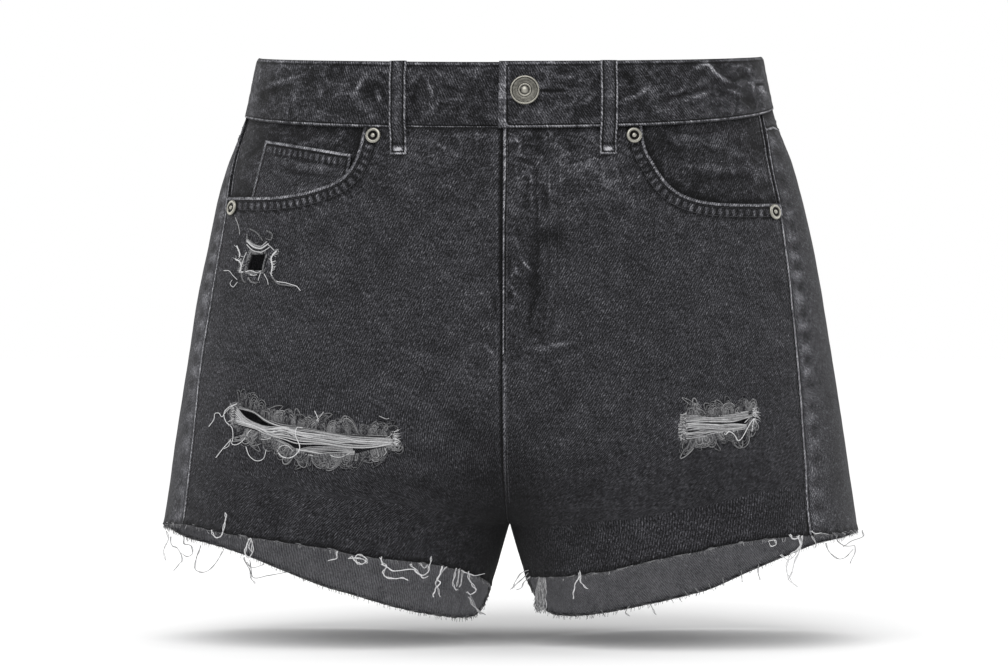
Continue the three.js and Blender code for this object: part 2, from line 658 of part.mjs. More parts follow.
// A raw edge: a narrow strip of loosened yarn under a panel's hem, with long threads and short ones.
function hemFringe(name) {
  const [face, sideWord] = name.split("_");
  const side = sideWord === "left" ? LEFT : RIGHT;
  const back = face === "back";
  const sign = back ? 1 : -1;
  const place = quarterPlace(side, back);
  const columns = back ? GRID.back.columns : GRID.front.columns;
  const station = (i, down, sink) => {
    const { angle, z } = place(i / columns, 1);
    return skin(side, angle, z, -0.25 - sink).add(new THREE.Vector3(0, (sign * GAP) / 2, -GAP - down));
  };
  const edge = (u, down, sink) => {
    const i = Math.min(Math.floor(u * columns), columns - 1);
    return station(i, down, sink).lerp(station(i + 1, down, sink), u * columns - i);
  };
  const grid = (sink) =>
    Array.from({ length: columns + 1 }, (_, i) => {
      const u = clamp(i / columns, 0.01, 0.99);
      return [0, FRAY.strip].map((down) => edge(u, down, sink));
    });
  let fringe = closeWall(grid(0), grid(FRAY.cloth));
  const inseam = sign * 180;
  const span = seamAngle(side, SIDE_HEM_Z) / RAD - inseam;
  const hang = ({ angle, length, swing, out }, width) => {
    const a = angle * RAD;
    const u = (angle - inseam) / span;
    const normal = skinNormal(side, a, hemZ(side, a));
    const along = new THREE.Vector3(-normal.y, normal.x, 0).normalize();
    const points = [0, 0.45, 1].map((t) =>
      edge(u, width / 2 + 0.15, FRAY.cloth / 2)
        .addScaledVector(along, swing * Math.sin(t * 2.6) * t)
        .addScaledVector(normal, out * t)
        .add(new THREE.Vector3(0, 0, -length * t)),
    );
    fringe = fringe.add(strand(points, width));
  };
  HEM_THREADS[name].forEach((thread) => hang(thread, FRAY.width * 1.15));
  const count = Math.round(Math.abs(span) / FRAY.pitch);
  for (let i = 1; i < count; i++) {
    const angle = inseam + (span * i) / count;
    if (HEM_THREADS[name].some((thread) => Math.abs(thread.angle - angle) < 2.5)) continue;
    const length = FRAY.short * (0.6 + 0.4 * Math.sin(i * 2.4) ** 2);
    hang({ angle, length, swing: 0.8 * Math.sin(i * 1.7), out: 0.3 }, FRAY.width);
  }
  return fringe;
}

// A rip's yarn: a rim of loosened yarn inside the cut edge, threads across it, and tufts over the cloth.
const RIP_YARN = {
  hole_threads: { across: [], tufts: 8, tuft: 6 },
  rip_threads_right: { across: [0.12, 0.3, 0.46, 0.62, 0.8], tufts: 23, tuft: 8.5 },
  rip_threads_left: { across: [0.14, 0.34, 0.54, 0.72, 0.88], tufts: 16, tuft: 8 },
};

function ripYarn(name) {
  const outline = RIPS[name];
  const side = Math.sign(outline[0].x);
  const shift = new THREE.Vector3(0, -GAP / 2, 0);
  const on = (x, z, lift) => skin(side, angleAtX(z, x), z, lift).add(shift);
  const sheet = bodyWall({
    side,
    cloth: 1.1,
    lift: () => -0.3,
    columns: 14,
    rows: 8,
    place: (u, v) => {
      const [xs, zs] = [outline.map((row) => row.x), outline.map((row) => row.z)];
      const x = side * mix(Math.min(...xs.map(Math.abs)) - 3, Math.max(...xs.map(Math.abs)) + 3, u);
      const z = mix(Math.max(...zs) + 3, Math.min(...zs) - 3, v);
      return { angle: angleAtX(z, x), z };
    },
  });
  const rim = frontPrism(inset(outline, GAP)).subtract(frontPrism(inset(outline, GAP + 1.1)));
  let yarn = sheet.intersect(rim);
  const [low, high] = [Math.min(...outline.map((r) => r.x)), Math.max(...outline.map((r) => r.x))];
  const crossing = (x) => {
    const hits = outline.flatMap((row, i) => {
      const next = outline[(i + 1) % outline.length];
      if ((row.x - x) * (next.x - x) > 0 || row.x === next.x) return [];
      return [mix(row.z, next.z, (x - row.x) / (next.x - row.x))];
    });
    return [Math.max(...hits), Math.min(...hits)];
  };
  for (const share of RIP_YARN[name].across) {
    const points = [0.035, 0.25, 0.5, 0.75, 0.965].map((t, i) => {
      const x = mix(low, high, t);
      const [top, bottom] = crossing(x);
      const wave = 0.05 * Math.sin(i * 2.1 + share * 9);
      return on(x, mix(top - 1.3, bottom + 1.3, clamp(share + wave, 0.08, 0.92)), -0.85);
    });
    yarn = yarn.add(strand(points, 1.9));
  }
  const rows = outline.length;
  const lengths = outline.map((row, i) => {
    const next = outline[(i + 1) % rows];
    return Math.hypot(next.x - row.x, next.z - row.z);
  });
  const round = lengths.reduce((sum, length) => sum + length, 0);
  const inner = inset(outline, GAP + 0.75);
  for (let k = 0; k < RIP_YARN[name].tufts; k++) {
    let run = ((k + 0.5) / RIP_YARN[name].tufts) * round;
    let i = 0;
    while (run > lengths[i]) run -= lengths[i++];
    const [a, b] = [inner[i], inner[(i + 1) % rows]];
    const [x, z] = [mix(a.x, b.x, run / lengths[i]), mix(a.z, b.z, run / lengths[i])];
    const [ox, oz] = [outline[i].x - inner[i].x, outline[i].z - inner[i].z];
    const span = Math.hypot(ox, oz);
    const reach = RIP_YARN[name].tuft * (0.55 + 0.45 * Math.sin(k * 2.7) ** 2);
    const points = [0, 0.04, 0.5, 1].map((t, step) => {
      const sway = 1.1 * Math.sin(k * 1.9) * t;
      const lift = [-0.7, 1, 1.35, 1][step];
      return on(x + (ox / span) * reach * t + sway, z + (oz / span) * reach * t, lift);
    });
    yarn = yarn.add(strand(points, 0.8));
  }
  return yarn;
}

// Building the shorts

for (const side of [RIGHT, LEFT]) {
  addPiece("front_" + sideName(side), frontPanel(side));
  addPiece("back_" + sideName(side), backPanel(side));
  addPiece("yoke_" + sideName(side), yoke(side));
  addPiece("pocket_facing_" + sideName(side), facing(side));
  addPiece("back_pocket_" + sideName(side), backPocket(side));
  addPiece("loop_front_" + sideName(side), beltLoop(side, (z) => angleAtX(z, LOOP.frontX)));
  addPiece("loop_back_" + sideName(side), beltLoop(side, (z) => angleAtArc(z, LOOP.backArc)));
}
addPiece("loop_back_centre", beltLoop(LEFT, () => Math.PI / 2));
addPiece("coin_pocket", coinPocket());
addPiece("waistband", waistband());
addPiece("button", button(), "metal");
for (const [name, place] of Object.entries(RIVET_PLACES)) addPiece(name, rivet(place), "metal");
for (const name of Object.keys(HEM_THREADS)) addPiece("fray_" + name, hemFringe(name), "thread");
for (const name of Object.keys(RIPS)) addPiece(name, ripYarn(name), "thread");

export default group;
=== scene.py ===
"""High-rise cut-off shorts in washed black denim: the cloth, stitches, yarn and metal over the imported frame.

Lengths in the tables are millimetres, and meshes are in metres. "Left" and "right" are the wearer's: the left
half is at +X, and the front faces -Y.
"""
import logging
import math
from dataclasses import dataclass, field
from enum import Enum
from typing import Callable, NamedTuple, Sequence

import bpy
import numpy as np
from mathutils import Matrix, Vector, noise
from mathutils.bvhtree import BVHTree


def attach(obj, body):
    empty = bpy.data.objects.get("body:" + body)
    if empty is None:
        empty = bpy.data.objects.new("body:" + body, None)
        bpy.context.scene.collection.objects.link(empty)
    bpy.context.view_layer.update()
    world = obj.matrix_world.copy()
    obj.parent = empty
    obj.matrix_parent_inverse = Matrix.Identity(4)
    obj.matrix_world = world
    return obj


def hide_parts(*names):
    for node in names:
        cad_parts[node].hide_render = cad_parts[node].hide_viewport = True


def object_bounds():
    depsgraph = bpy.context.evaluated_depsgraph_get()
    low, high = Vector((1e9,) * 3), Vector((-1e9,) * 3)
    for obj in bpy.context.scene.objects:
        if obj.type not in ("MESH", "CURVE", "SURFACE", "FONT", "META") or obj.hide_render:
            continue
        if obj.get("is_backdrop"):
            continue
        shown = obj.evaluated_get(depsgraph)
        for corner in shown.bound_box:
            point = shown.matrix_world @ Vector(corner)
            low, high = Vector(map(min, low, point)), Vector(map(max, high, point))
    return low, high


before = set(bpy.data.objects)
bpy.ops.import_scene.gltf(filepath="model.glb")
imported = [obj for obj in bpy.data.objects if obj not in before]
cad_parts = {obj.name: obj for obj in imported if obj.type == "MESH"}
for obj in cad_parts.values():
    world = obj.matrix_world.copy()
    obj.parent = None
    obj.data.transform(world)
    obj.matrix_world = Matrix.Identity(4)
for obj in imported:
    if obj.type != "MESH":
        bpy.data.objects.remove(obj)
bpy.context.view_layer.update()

LOG = logging.getLogger("shorts")
MM = 0.001
# The gap at a seam, how far an upper edge goes under the piece above it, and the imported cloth's thickness.
GAP = 0.3
TUCK = 0.4
CLOTH = 1.6
TAU = 2 * math.pi
UP = np.array([0, 0, 1.0])


class Side(Enum):
    """The wearer's side that a piece is on."""

    LEFT = 1
    RIGHT = -1

    @property
    def word(self) -> str:
        """The side's name in lower case."""
        return self.name.lower()


class Half(Enum):
    """The front or the back of the shorts."""

    FRONT = -1
    BACK = 1

    @property
    def word(self) -> str:
        """The half's name in lower case."""
        return self.name.lower()


class Level(NamedTuple):
    """The section of one half of the body at a height."""

    z: float
    half: float
    front: float
    back: float
    power: float
    seam: float
    twist: float


LEVELS = (
    Level(12, 147.5, 88, 88, 2.3, 13, 4.5),
    Level(0, 151, 90, 91, 2.3, 14, 4.5),
    Level(-36, 159, 94, 99, 2.35, 15, 5),
    Level(-62, 169, 97, 107, 2.4, 21, 4.5),
    Level(-90, 176.5, 100, 114, 2.4, 24, 2.5),
    Level(-137, 186, 103, 122, 2.4, 26, 3),
    Level(-185, 193.8, 105, 124, 2.35, 29, 4),
    Level(-233, 201, 105, 121, 2.3, 35, 4.5),
    Level(-278, 207.5, 103, 115, 2.2, 41, 5.5),
    Level(-345, 214, 100, 108, 2.2, 44, 6),
)


class HemPoint(NamedTuple):
    """The raw hem's height at an angle round the leg, on each side."""

    angle: float
    right: float
    left: float


HEM = (
    HemPoint(-180, -314, -308),
    HemPoint(-145, -302, -305),
    HemPoint(-130, -297, -303),
    HemPoint(-115, -293.6, -299.5),
    HemPoint(-102, -291, -294),
    HemPoint(-90, -286, -289),
    HemPoint(-75, -282, -283),
    HemPoint(-58, -278.5, -280),
    HemPoint(-38, -274.5, -279.5),
    HemPoint(0, -278, -280),
    HemPoint(24, -287.5, -286.5),
    HemPoint(42, -294, -292),
    HemPoint(57, -301.5, -300.5),
    HemPoint(73, -312, -311),
    HemPoint(92, -324.5, -325),
    HemPoint(112, -333.5, -332.5),
    HemPoint(130, -337, -336),
    HemPoint(148, -337, -335.5),
    HemPoint(164, -332, -330),
    HemPoint(180, -316, -311),
)


class Fold(NamedTuple):
    """A large soft fold along a line of angle and height on one side."""

    side: int
    angle: float
    z: float
    to_angle: float
    to_z: float
    width: float
    depth: float


FOLDS = (
    Fold(1, -100, -205, -62, -180, 11, -1.6),
    Fold(1, -118, -238, -70, -222, 9, 1.4),
    Fold(-1, -100, -200, -66, -172, 11, -1.5),
    Fold(-1, -116, -240, -64, -252, 10, 1.3),
    Fold(1, -84, -262, -80, -300, 16, -2.2),
    Fold(-1, -78, -262, -72, -300, 15, -2),
    Fold(1, 115, -243, 58, -232, 12, -3),
    Fold(-1, 113, -247, 54, -238, 12, -3),
    Fold(1, 120, -268, 74, -262, 9, 2),
    Fold(-1, 122, -272, 70, -264, 9, 2),
    Fold(1, 96, -285, 92, -330, 18, 2.6),
    Fold(-1, 90, -285, 88, -330, 18, 2.6),
)


def read(rows: Sequence[NamedTuple], along: str, column: str, at: np.ndarray) -> np.ndarray:
    """Reads a smooth curve through one column of a table.

    Args:
        rows: The table.
        along: The column that is looked up.
        column: The column that is read.
        at: Values of the first column.

    Returns:
        The second column's values there.
    """
    order = sorted(rows, key=lambda row: getattr(row, along))
    x = np.array([getattr(row, along) for row in order], float)
    y = np.array([getattr(row, column) for row in order], float)
    at = np.asarray(at, float)
    last = len(x) - 1
    i = np.clip(np.searchsorted(x, at, side="right") - 1, 0, last - 1)
    low, high = np.maximum(i - 1, 0), np.minimum(i + 2, last)
    before = (y[i + 1] - y[low]) / (x[i + 1] - x[low])
    after = (y[high] - y[i]) / (x[high] - x[i])
    step = x[i + 1] - x[i]
    t = np.clip((at - x[i]) / step, 0, 1)
    t2, t3 = t * t, t * t * t
    return (
        (2 * t3 - 3 * t2 + 1) * y[i]
        + (t3 - 2 * t2 + t) * step * before
        + (3 * t2 - 2 * t3) * y[i + 1]
        + (t3 - t2) * step * after
    )


def bump(t: np.ndarray) -> np.ndarray:
    """A smooth hump, 1 at 0 and 0 beyond 1 on either side."""
    return np.where(np.abs(t) < 1, (1 - np.clip(t, -1, 1) ** 2) ** 2, 0.0)


def smooth(t: np.ndarray) -> np.ndarray:
    """A smooth step from 0 to 1."""
    t = np.clip(t, 0, 1)
    return t * t * (3 - 2 * t)


def blend(a: np.ndarray, b: np.ndarray, t: np.ndarray) -> np.ndarray:
    """The value a share t of the way from a to b."""
    return a + (b - a) * t


def path_distance(path: np.ndarray, x: np.ndarray, z: np.ndarray) -> tuple[np.ndarray, np.ndarray]:
    """Measures places against a path in the plane.

    Args:
        path: The path's points, one row each.
        x: First coordinates of the places.
        z: Second coordinates of the places.

    Returns:
        Each place's distance to the path, and how far along the path its nearest point is.
    """
    best = np.full(x.shape, 1e9)
    along = np.zeros(x.shape)
    run = 0.0
    for a, b in zip(path[:-1], path[1:]):
        d = b - a
        length = float(np.hypot(*d)) or 1e-9
        t = np.clip(((x - a[0]) * d[0] + (z - a[1]) * d[1]) / length**2, 0, 1)
        away = np.hypot(x - a[0] - t * d[0], z - a[1] - t * d[1])
        nearer = away < best
        best = np.where(nearer, away, best)
        along = np.where(nearer, run + t * length, along)
        run += length
    return best, along


def inside(path: np.ndarray, x: np.ndarray, z: np.ndarray) -> np.ndarray:
    """Whether each place lies inside a closed outline."""
    hit = np.zeros(x.shape, bool)
    for a, b in zip(path, np.roll(path, -1, axis=0)):
        crosses = (a[1] > z) != (b[1] > z)
        rise = b[1] - a[1] if b[1] != a[1] else 1e-9
        hit ^= crosses & (x < a[0] + (z - a[1]) * (b[0] - a[0]) / rise)
    return hit


def spline(points: Sequence[Sequence[float]], steps: int = 8) -> np.ndarray:
    """A smooth path through points, with a few steps between each two."""
    p = np.array(points, float)
    padded = np.vstack([2 * p[0] - p[1], p, 2 * p[-1] - p[-2]])
    made = []
    for a, b, c, d in zip(padded, padded[1:], padded[2:], padded[3:]):
        for k in range(steps):
            t = k / steps
            square = (2 * a - 5 * b + 4 * c - d) * t**2
            cube = (3 * b - a - 3 * c + d) * t**3
            made.append(0.5 * (2 * b + (c - a) * t + square + cube))
    return np.vstack([made, p[-1:]])


def run_lengths(points: Sequence[Sequence[float]]) -> np.ndarray:
    """How far along a path each of its points is."""
    return np.concatenate([[0], np.cumsum(np.linalg.norm(np.diff(points, axis=0), axis=1))])


def wander(x: np.ndarray, y: np.ndarray, scale: float, seed: float) -> np.ndarray:
    """Smooth uneven values from -1 to 1 over the plane, about a scale apart."""
    flat = [noise.noise(Vector((a / scale, b / scale, seed))) for a, b in zip(x.ravel(), y.ravel())]
    return np.array(flat).reshape(x.shape)


@dataclass(frozen=True)
class Body:
    """The hollow form that the cloth hangs on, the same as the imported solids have."""

    groove_top: float = -110
    crotch: float = -276
    flare: float = 0.3
    band_top: float = 2.4
    front_dip: float = 8.2
    back_rise: float = 1
    band_centre: float = 38
    band_right: float = 34
    band_left: float = 30
    panel_top: float = -45
    side_hem: float = -280
    yoke_side: float = 10
    yoke_centre: float = 54
    yoke_from: float = -14
    yoke_to: float = 90
    fold_radius: float = 110
    turn_step: float = 0.004
    rise_step: float = 0.6
    arc_points: int = 91

    def section(self, z: np.ndarray) -> tuple[np.ndarray, ...]:
        """The radius, centre, front depth, back depth and power of the section at heights."""
        z = np.asarray(z, float)
        half = read(LEVELS, "z", "half", z)
        down = np.clip((self.groove_top - z) / (self.groove_top - self.crotch), 0, 1)
        leg = (half - self.flare * (self.crotch - z)) / 2
        radius = np.where(z >= self.crotch, half / (1 + down**2), leg)
        front, back, power = (read(LEVELS, "z", c, z) for c in ("front", "back", "power"))
        return radius, half - radius, front, back, power

    def raw(self, side: Side, angle: np.ndarray, z: np.ndarray) -> np.ndarray:
        """Points of the plain form at angles and heights."""
        radius, centre, front, back, power = self.section(z)
        c, d = np.cos(angle), np.sin(angle)
        out = radius * np.sign(c) * np.abs(c) ** (2 / power)
        depth = np.where(d < 0, front, back) * np.sign(d) * np.abs(d) ** (2 / power)
        return np.stack([side.value * (centre + out + GAP / 2), depth, z + 0 * out], axis=-1)

    def normal(self, side: Side, angle: np.ndarray, z: np.ndarray) -> np.ndarray:
        """Outward unit normals of the plain form."""
        turn, rise = self.turn_step, self.rise_step
        across = self.raw(side, angle + turn, z) - self.raw(side, angle - turn, z)
        up = self.raw(side, angle, z + rise) - self.raw(side, angle, z - rise)
        made = np.cross(across, up) * side.value
        return made / np.maximum(np.linalg.norm(made, axis=-1, keepdims=True), 1e-12)

    def folds(self, side: Side, angle: np.ndarray, z: np.ndarray) -> np.ndarray:
        """The height of the large folds."""
        scale = math.radians(self.fold_radius)
        px = np.degrees(angle) * scale
        total = np.zeros(np.broadcast(angle, z).shape)
        for row in (row for row in FOLDS if row.side == side.value):
            ax, bx = row.angle * scale, row.to_angle * scale
            dx, dz = bx - ax, row.to_z - row.z
            length = math.hypot(dx, dz)
            t = ((px - ax) * dx + (z - row.z) * dz) / length**2
            away = np.abs((px - ax) * dz - (z - row.z) * dx) / length
            total += row.depth * bump(away / row.width) * bump((t - 0.5) / 0.75)
        return total

    def skin(self, side: Side, angle: np.ndarray, z: np.ndarray, lift: np.ndarray = 0.0) -> np.ndarray:
        """Points of the cloth's outer face, moved out by lift."""
        rise = self.folds(side, angle, z) + lift
        return self.raw(side, angle, z) + self.normal(side, angle, z) * np.asarray(rise)[..., None]

    def seam_angle(self, side: Side, z: np.ndarray) -> np.ndarray:
        """The side seam's angle, in front of the widest point."""
        return -np.radians(read(LEVELS, "z", "seam", z) + side.value * read(LEVELS, "z", "twist", z))

    def inner_angle(self, z: np.ndarray) -> np.ndarray:
        """The angle at which a section meets the middle plane, or the leg's innermost point."""
        radius, centre, _, _, power = self.section(z)
        return math.pi - np.arccos(np.clip(centre / radius, 0, 1) ** (power / 2))

    def angle_at(self, x: np.ndarray, z: np.ndarray) -> np.ndarray:
        """The angle on the front at a place in front view."""
        radius, centre, _, _, power = self.section(z)
        share = np.clip((np.abs(x) - centre - GAP / 2) / radius, -1, 1)
        return -np.arccos(np.sign(share) * np.abs(share) ** (power / 2))

    def arc_table(self, z: float) -> tuple[np.ndarray, np.ndarray]:
        """Arc lengths from the middle plane along the back at a height, and their angles."""
        angles = float(self.inner_angle(z)) * (1 - np.linspace(0, 1, self.arc_points))
        points = self.raw(Side.LEFT, angles, np.full(self.arc_points, float(z)))
        return run_lengths(points), angles

    def angle_at_arc(self, z: float, arc: float) -> float:
        """The angle on the back that lies an arc's length from the middle plane."""
        return float(np.interp(arc, *self.arc_table(z)))

    def top(self, angle: np.ndarray) -> np.ndarray:
        """The height of the waistband's upper edge."""
        rise = np.where(angle < 0, -self.front_dip, self.back_rise)
        return self.band_top + rise * np.abs(np.sin(angle))

    def band_foot(self, side: Side, angle: np.ndarray) -> np.ndarray:
        """The height of the waistband's lower edge."""
        edge = self.band_left if side is Side.LEFT else self.band_right
        return self.top(angle) - blend(edge, self.band_centre, np.abs(np.sin(angle)))

    def yoke_foot(self, side: Side, angle: np.ndarray) -> np.ndarray:
        """The height of the yoke's lower edge."""
        share = np.clip((np.degrees(angle) - self.yoke_from) / (self.yoke_to - self.yoke_from), 0, 1)
        return self.band_foot(side, angle) - blend(self.yoke_side, self.yoke_centre, share)

    def hem(self, side: Side, angle: np.ndarray) -> np.ndarray:
        """The height of the raw hem."""
        return read(HEM, "angle", side.word, np.degrees(angle))


BODY = Body()


def tone(code: str) -> tuple[float, float, float, float]:
    """Turns an sRGB hex colour into linear red, green, blue and alpha."""
    parts = [int(code[i : i + 2], 16) / 255 for i in (1, 3, 5)]
    return tuple(c / 12.92 if c <= 0.04045 else ((c + 0.055) / 1.055) ** 2.4 for c in parts) + (1.0,)


def add_node(
    tree: bpy.types.NodeTree, kind: str, links: dict | None = None, **settings: object
) -> bpy.types.Node:
    """Adds a node.

    Args:
        tree: The node tree.
        kind: The node's type.
        links: For each input, the socket that feeds it or its value.
        settings: The node's own properties.

    Returns:
        The node.
    """
    node = tree.nodes.new(kind)
    for key, value in settings.items():
        setattr(node, key, value)
    for key, value in (links or {}).items():
        if isinstance(value, bpy.types.NodeSocket):
            tree.links.new(value, node.inputs[key])
        else:
            node.inputs[key].default_value = value
    return node


def add_ramp(
    tree: bpy.types.NodeTree, value: bpy.types.NodeSocket, stops: dict[float, str]
) -> bpy.types.NodeSocket:
    """Adds a colour ramp with a hex colour at each place, and returns its colour."""
    node = add_node(tree, "ShaderNodeValToRGB", {0: value})
    elements = node.color_ramp.elements
    places = list(stops.items())
    elements[0].position, elements[1].position = places[0][0], places[-1][0]
    elements[0].color, elements[1].color = tone(places[0][1]), tone(places[-1][1])
    for place, code in places[1:-1]:
        elements.new(place).color = tone(code)
    return node.outputs[0]


def weigh(tree: bpy.types.NodeTree, start: float, terms: Sequence[tuple]) -> bpy.types.NodeSocket:
    """Sums a start value and terms of (socket, weight, the socket's middle value)."""
    total: object = start
    for socket, weight, middle in terms:
        shifted = add_node(tree, "ShaderNodeMath", {0: socket, 1: middle}, operation="SUBTRACT")
        node = add_node(
            tree, "ShaderNodeMath", {0: shifted.outputs[0], 1: weight, 2: total}, operation="MULTIPLY_ADD"
        )
        total = node.outputs[0]
    return total


def times(tree: bpy.types.NodeTree, a: bpy.types.NodeSocket, b: bpy.types.NodeSocket) -> bpy.types.NodeSocket:
    """Multiplies two values."""
    return add_node(tree, "ShaderNodeMath", {0: a, 1: b}, operation="MULTIPLY").outputs[0]


def set_inputs(shader: bpy.types.Node, values: dict[str, object]) -> None:
    """Sets a shader's plain inputs."""
    for key, value in values.items():
        shader.inputs[key].default_value = value


def add_bump(
    tree: bpy.types.NodeTree,
    shader: bpy.types.Node,
    height: bpy.types.NodeSocket,
    strength: float,
    depth: float,
) -> None:
    """Lays a fine relief, with its depth in millimetres, on a shader."""
    inputs = {"Height": height, "Strength": strength, "Distance": depth * MM}
    bumps = add_node(tree, "ShaderNodeBump", inputs)
    tree.links.new(bumps.outputs[0], shader.inputs["Normal"])


def new_material(name: str) -> tuple[bpy.types.Material, bpy.types.NodeTree, bpy.types.Node]:
    """Makes a material, and returns it with its tree and its shader."""
    material = bpy.data.materials.new(name)
    material.use_nodes = True
    tree = material.node_tree
    return material, tree, tree.nodes["Principled BSDF"]


# Grey ramps: the worn line and groove of a turned edge and the strip of its puckers, both from far to near,
# and the pale ridges of the marbled wash.
LEVEL = "#bcbcbc"
EDGE_LINE = {
    0.0: LEVEL, 0.66: LEVEL, 0.73: "#3c3c3c", 0.8: "#3c3c3c", 0.845: "#f4f4f4", 0.93: "#ffffff",
    1.0: "#dadada",
}
PUCKER_STRIP = {0.0: "#000000", 0.12: "#000000", 0.3: "#ffffff", 0.62: "#ffffff", 0.74: "#000000"}
MARBLE_RIDGE = {0.36: LEVEL, 0.44: "#707070", 0.48: "#fafafa", 0.51: "#fafafa", 0.56: "#707070", 0.64: LEVEL}


@dataclass(frozen=True)
class Denim:
    """Right-hand twill with a black warp, stone washed: matt, with grey speckles where the dye has worn.

    The "seam" attribute gives how near a turned edge is (1 at it, 0 beyond its reach), the distance along it
    in millimetres, and how marbled the cloth is. The "pull" attribute gives how worn that edge is, and how
    strongly its two rows of stitches draw the cloth into puckers. The painted shade is how much darker the
    cloth is painted higher up, between two heights in metres, as shade where less light reaches inside.
    """

    name: str
    stops: tuple[tuple[float, str], ...]
    pitch: float = 1.35
    lean: float = 28
    start: float = 0.37
    twill: float = 0.2
    speckle: float = 1.0
    mottle: float = 0.2
    wear: float = 1.0
    deep: float = 0.0
    deep_from: float = -0.29
    deep_to: float = -0.22
    yarn: tuple[float, float] = (0.7, 2.2)

    def build(self) -> bpy.types.Material:
        """Builds the material."""
        material, tree, shader = new_material(self.name)
        cut = add_node(tree, "ShaderNodeUVMap", uv_map="Cut").outputs[0]
        place = add_node(tree, "ShaderNodeTexCoord").outputs["Object"]
        # The "fade" attribute: how worn the cloth is and, in places, painted shade.
        worn = add_node(tree, "ShaderNodeAttribute", attribute_name="fade").outputs["Fac"]
        seam = add_node(tree, "ShaderNodeAttribute", attribute_name="seam").outputs["Vector"]
        near, run, marbled = add_node(tree, "ShaderNodeSeparateXYZ", {0: seam}).outputs
        pull = add_node(tree, "ShaderNodeAttribute", attribute_name="pull").outputs["Vector"]
        rubbed, tight, _ = add_node(tree, "ShaderNodeSeparateXYZ", {0: pull}).outputs
        turn = (0, 0, math.radians(self.lean))
        across = add_node(tree, "ShaderNodeMapping", {"Vector": cut, "Rotation": turn}).outputs[0]
        twill = self.wave(tree, across, self.pitch * MM, 3.5, 2.0)
        yarn = (1 / (self.yarn[0] * MM), 1 / (self.yarn[1] * MM), 1 / MM)
        slub_at = add_node(tree, "ShaderNodeMapping", {"Vector": across, "Scale": yarn}).outputs[0]
        slub = self.cloud(tree, slub_at, 1.0, 2.0, 0.5)
        grit = self.cloud(tree, cut, 0.8 * MM, 2.0, 0.6)
        patchy = self.cloud(tree, place, 5 * MM, 2.0, 0.5)
        cloud = self.cloud(tree, place, 9 * MM, 4.0, 0.62)
        flatter = {"Vector": place, "Scale": (1.0, 1.0, 1.7)}
        stretched = add_node(tree, "ShaderNodeMapping", flatter).outputs[0]
        rope = self.cloud(tree, stretched, 17 * MM, 1.5, 0.5)
        line = add_ramp(tree, near, EDGE_LINE)
        strip = add_ramp(tree, near, PUCKER_STRIP)
        along = add_node(tree, "ShaderNodeCombineXYZ", {0: run, 1: near}).outputs[0]
        drawn = self.wave(tree, along, 3.9, 1.6, 1.0)
        ridge = add_ramp(tree, rope, MARBLE_RIDGE)
        worn_line = weigh(tree, 0.0, ((line, self.wear, 0.5),))
        edge = times(tree, worn_line, weigh(tree, 0.95, ((patchy, 1.8, 0.5),)))
        edge = times(tree, edge, rubbed)
        pucker = times(tree, weigh(tree, 0.0, ((drawn, 1.0, 0.5),)), strip)
        pucker = times(tree, times(tree, pucker, tight), weigh(tree, 1.0, ((cloud, 2.6, 0.5),)))
        marble = times(tree, weigh(tree, 0.0, ((ridge, 0.4, 0.5), (cloud, 1.1, 0.5))), marbled)
        # Painted shade: the cloth darkens higher up, where less light reaches inside the shorts.
        height = add_node(tree, "ShaderNodeSeparateXYZ", {0: place}).outputs["Z"]
        inputs = {"Value": height, "From Min": self.deep_from, "From Max": self.deep_to}
        up = add_node(tree, "ShaderNodeMapRange", inputs).outputs[0]
        terms = (
            (worn, 0.5, 0.0),
            (up, -self.deep, 0.0),
            (twill, self.twill, 0.5),
            (slub, self.speckle, 0.5),
            (grit, self.speckle * 0.8, 0.5),
            (cloud, self.mottle, 0.5),
            (edge, 1.0, 0.0),
            (pucker, 0.4, 0.0),
            (marble, 0.7, 0.0),
        )
        value = weigh(tree, self.start, terms)
        colour = add_ramp(tree, value, dict(self.stops))
        tree.links.new(colour, shader.inputs["Base Color"])
        heights = (
            (twill, 0.5, 0.0),
            (slub, 0.8, 0.0),
            (grit, 0.4, 0.0),
            (line, 1.6, 0.0),
            (pucker, 1.6, 0.0),
            (marble, 1.2, 0.0),
        )
        add_bump(tree, shader, weigh(tree, 0.0, heights), 0.6, 0.22)
        set_inputs(shader, {"Roughness": 0.92, "Specular IOR Level": 0.2})
        set_inputs(shader, {"Sheen Weight": 0.04, "Sheen Roughness": 0.5})
        return material

    @staticmethod
    def cloud(
        tree: bpy.types.NodeTree, at: bpy.types.NodeSocket, size: float, detail: float, rough: float
    ) -> bpy.types.NodeSocket:
        """Adds a noise whose features are about a size apart."""
        inputs = {"Vector": at, "Scale": 1 / size, "Detail": detail, "Roughness": rough}
        return add_node(tree, "ShaderNodeTexNoise", inputs).outputs[0]

    @staticmethod
    def wave(
        tree: bpy.types.NodeTree, at: bpy.types.NodeSocket, period: float, distortion: float, detail: float
    ) -> bpy.types.NodeSocket:
        """Adds waves along the first coordinate, a period apart."""
        inputs = {
            "Vector": at, "Scale": math.pi / 10 / period, "Distortion": distortion, "Detail": detail,
            "Detail Scale": 1.3,
        }
        return add_node(tree, "ShaderNodeTexWave", inputs, bands_direction="X").outputs["Fac"]


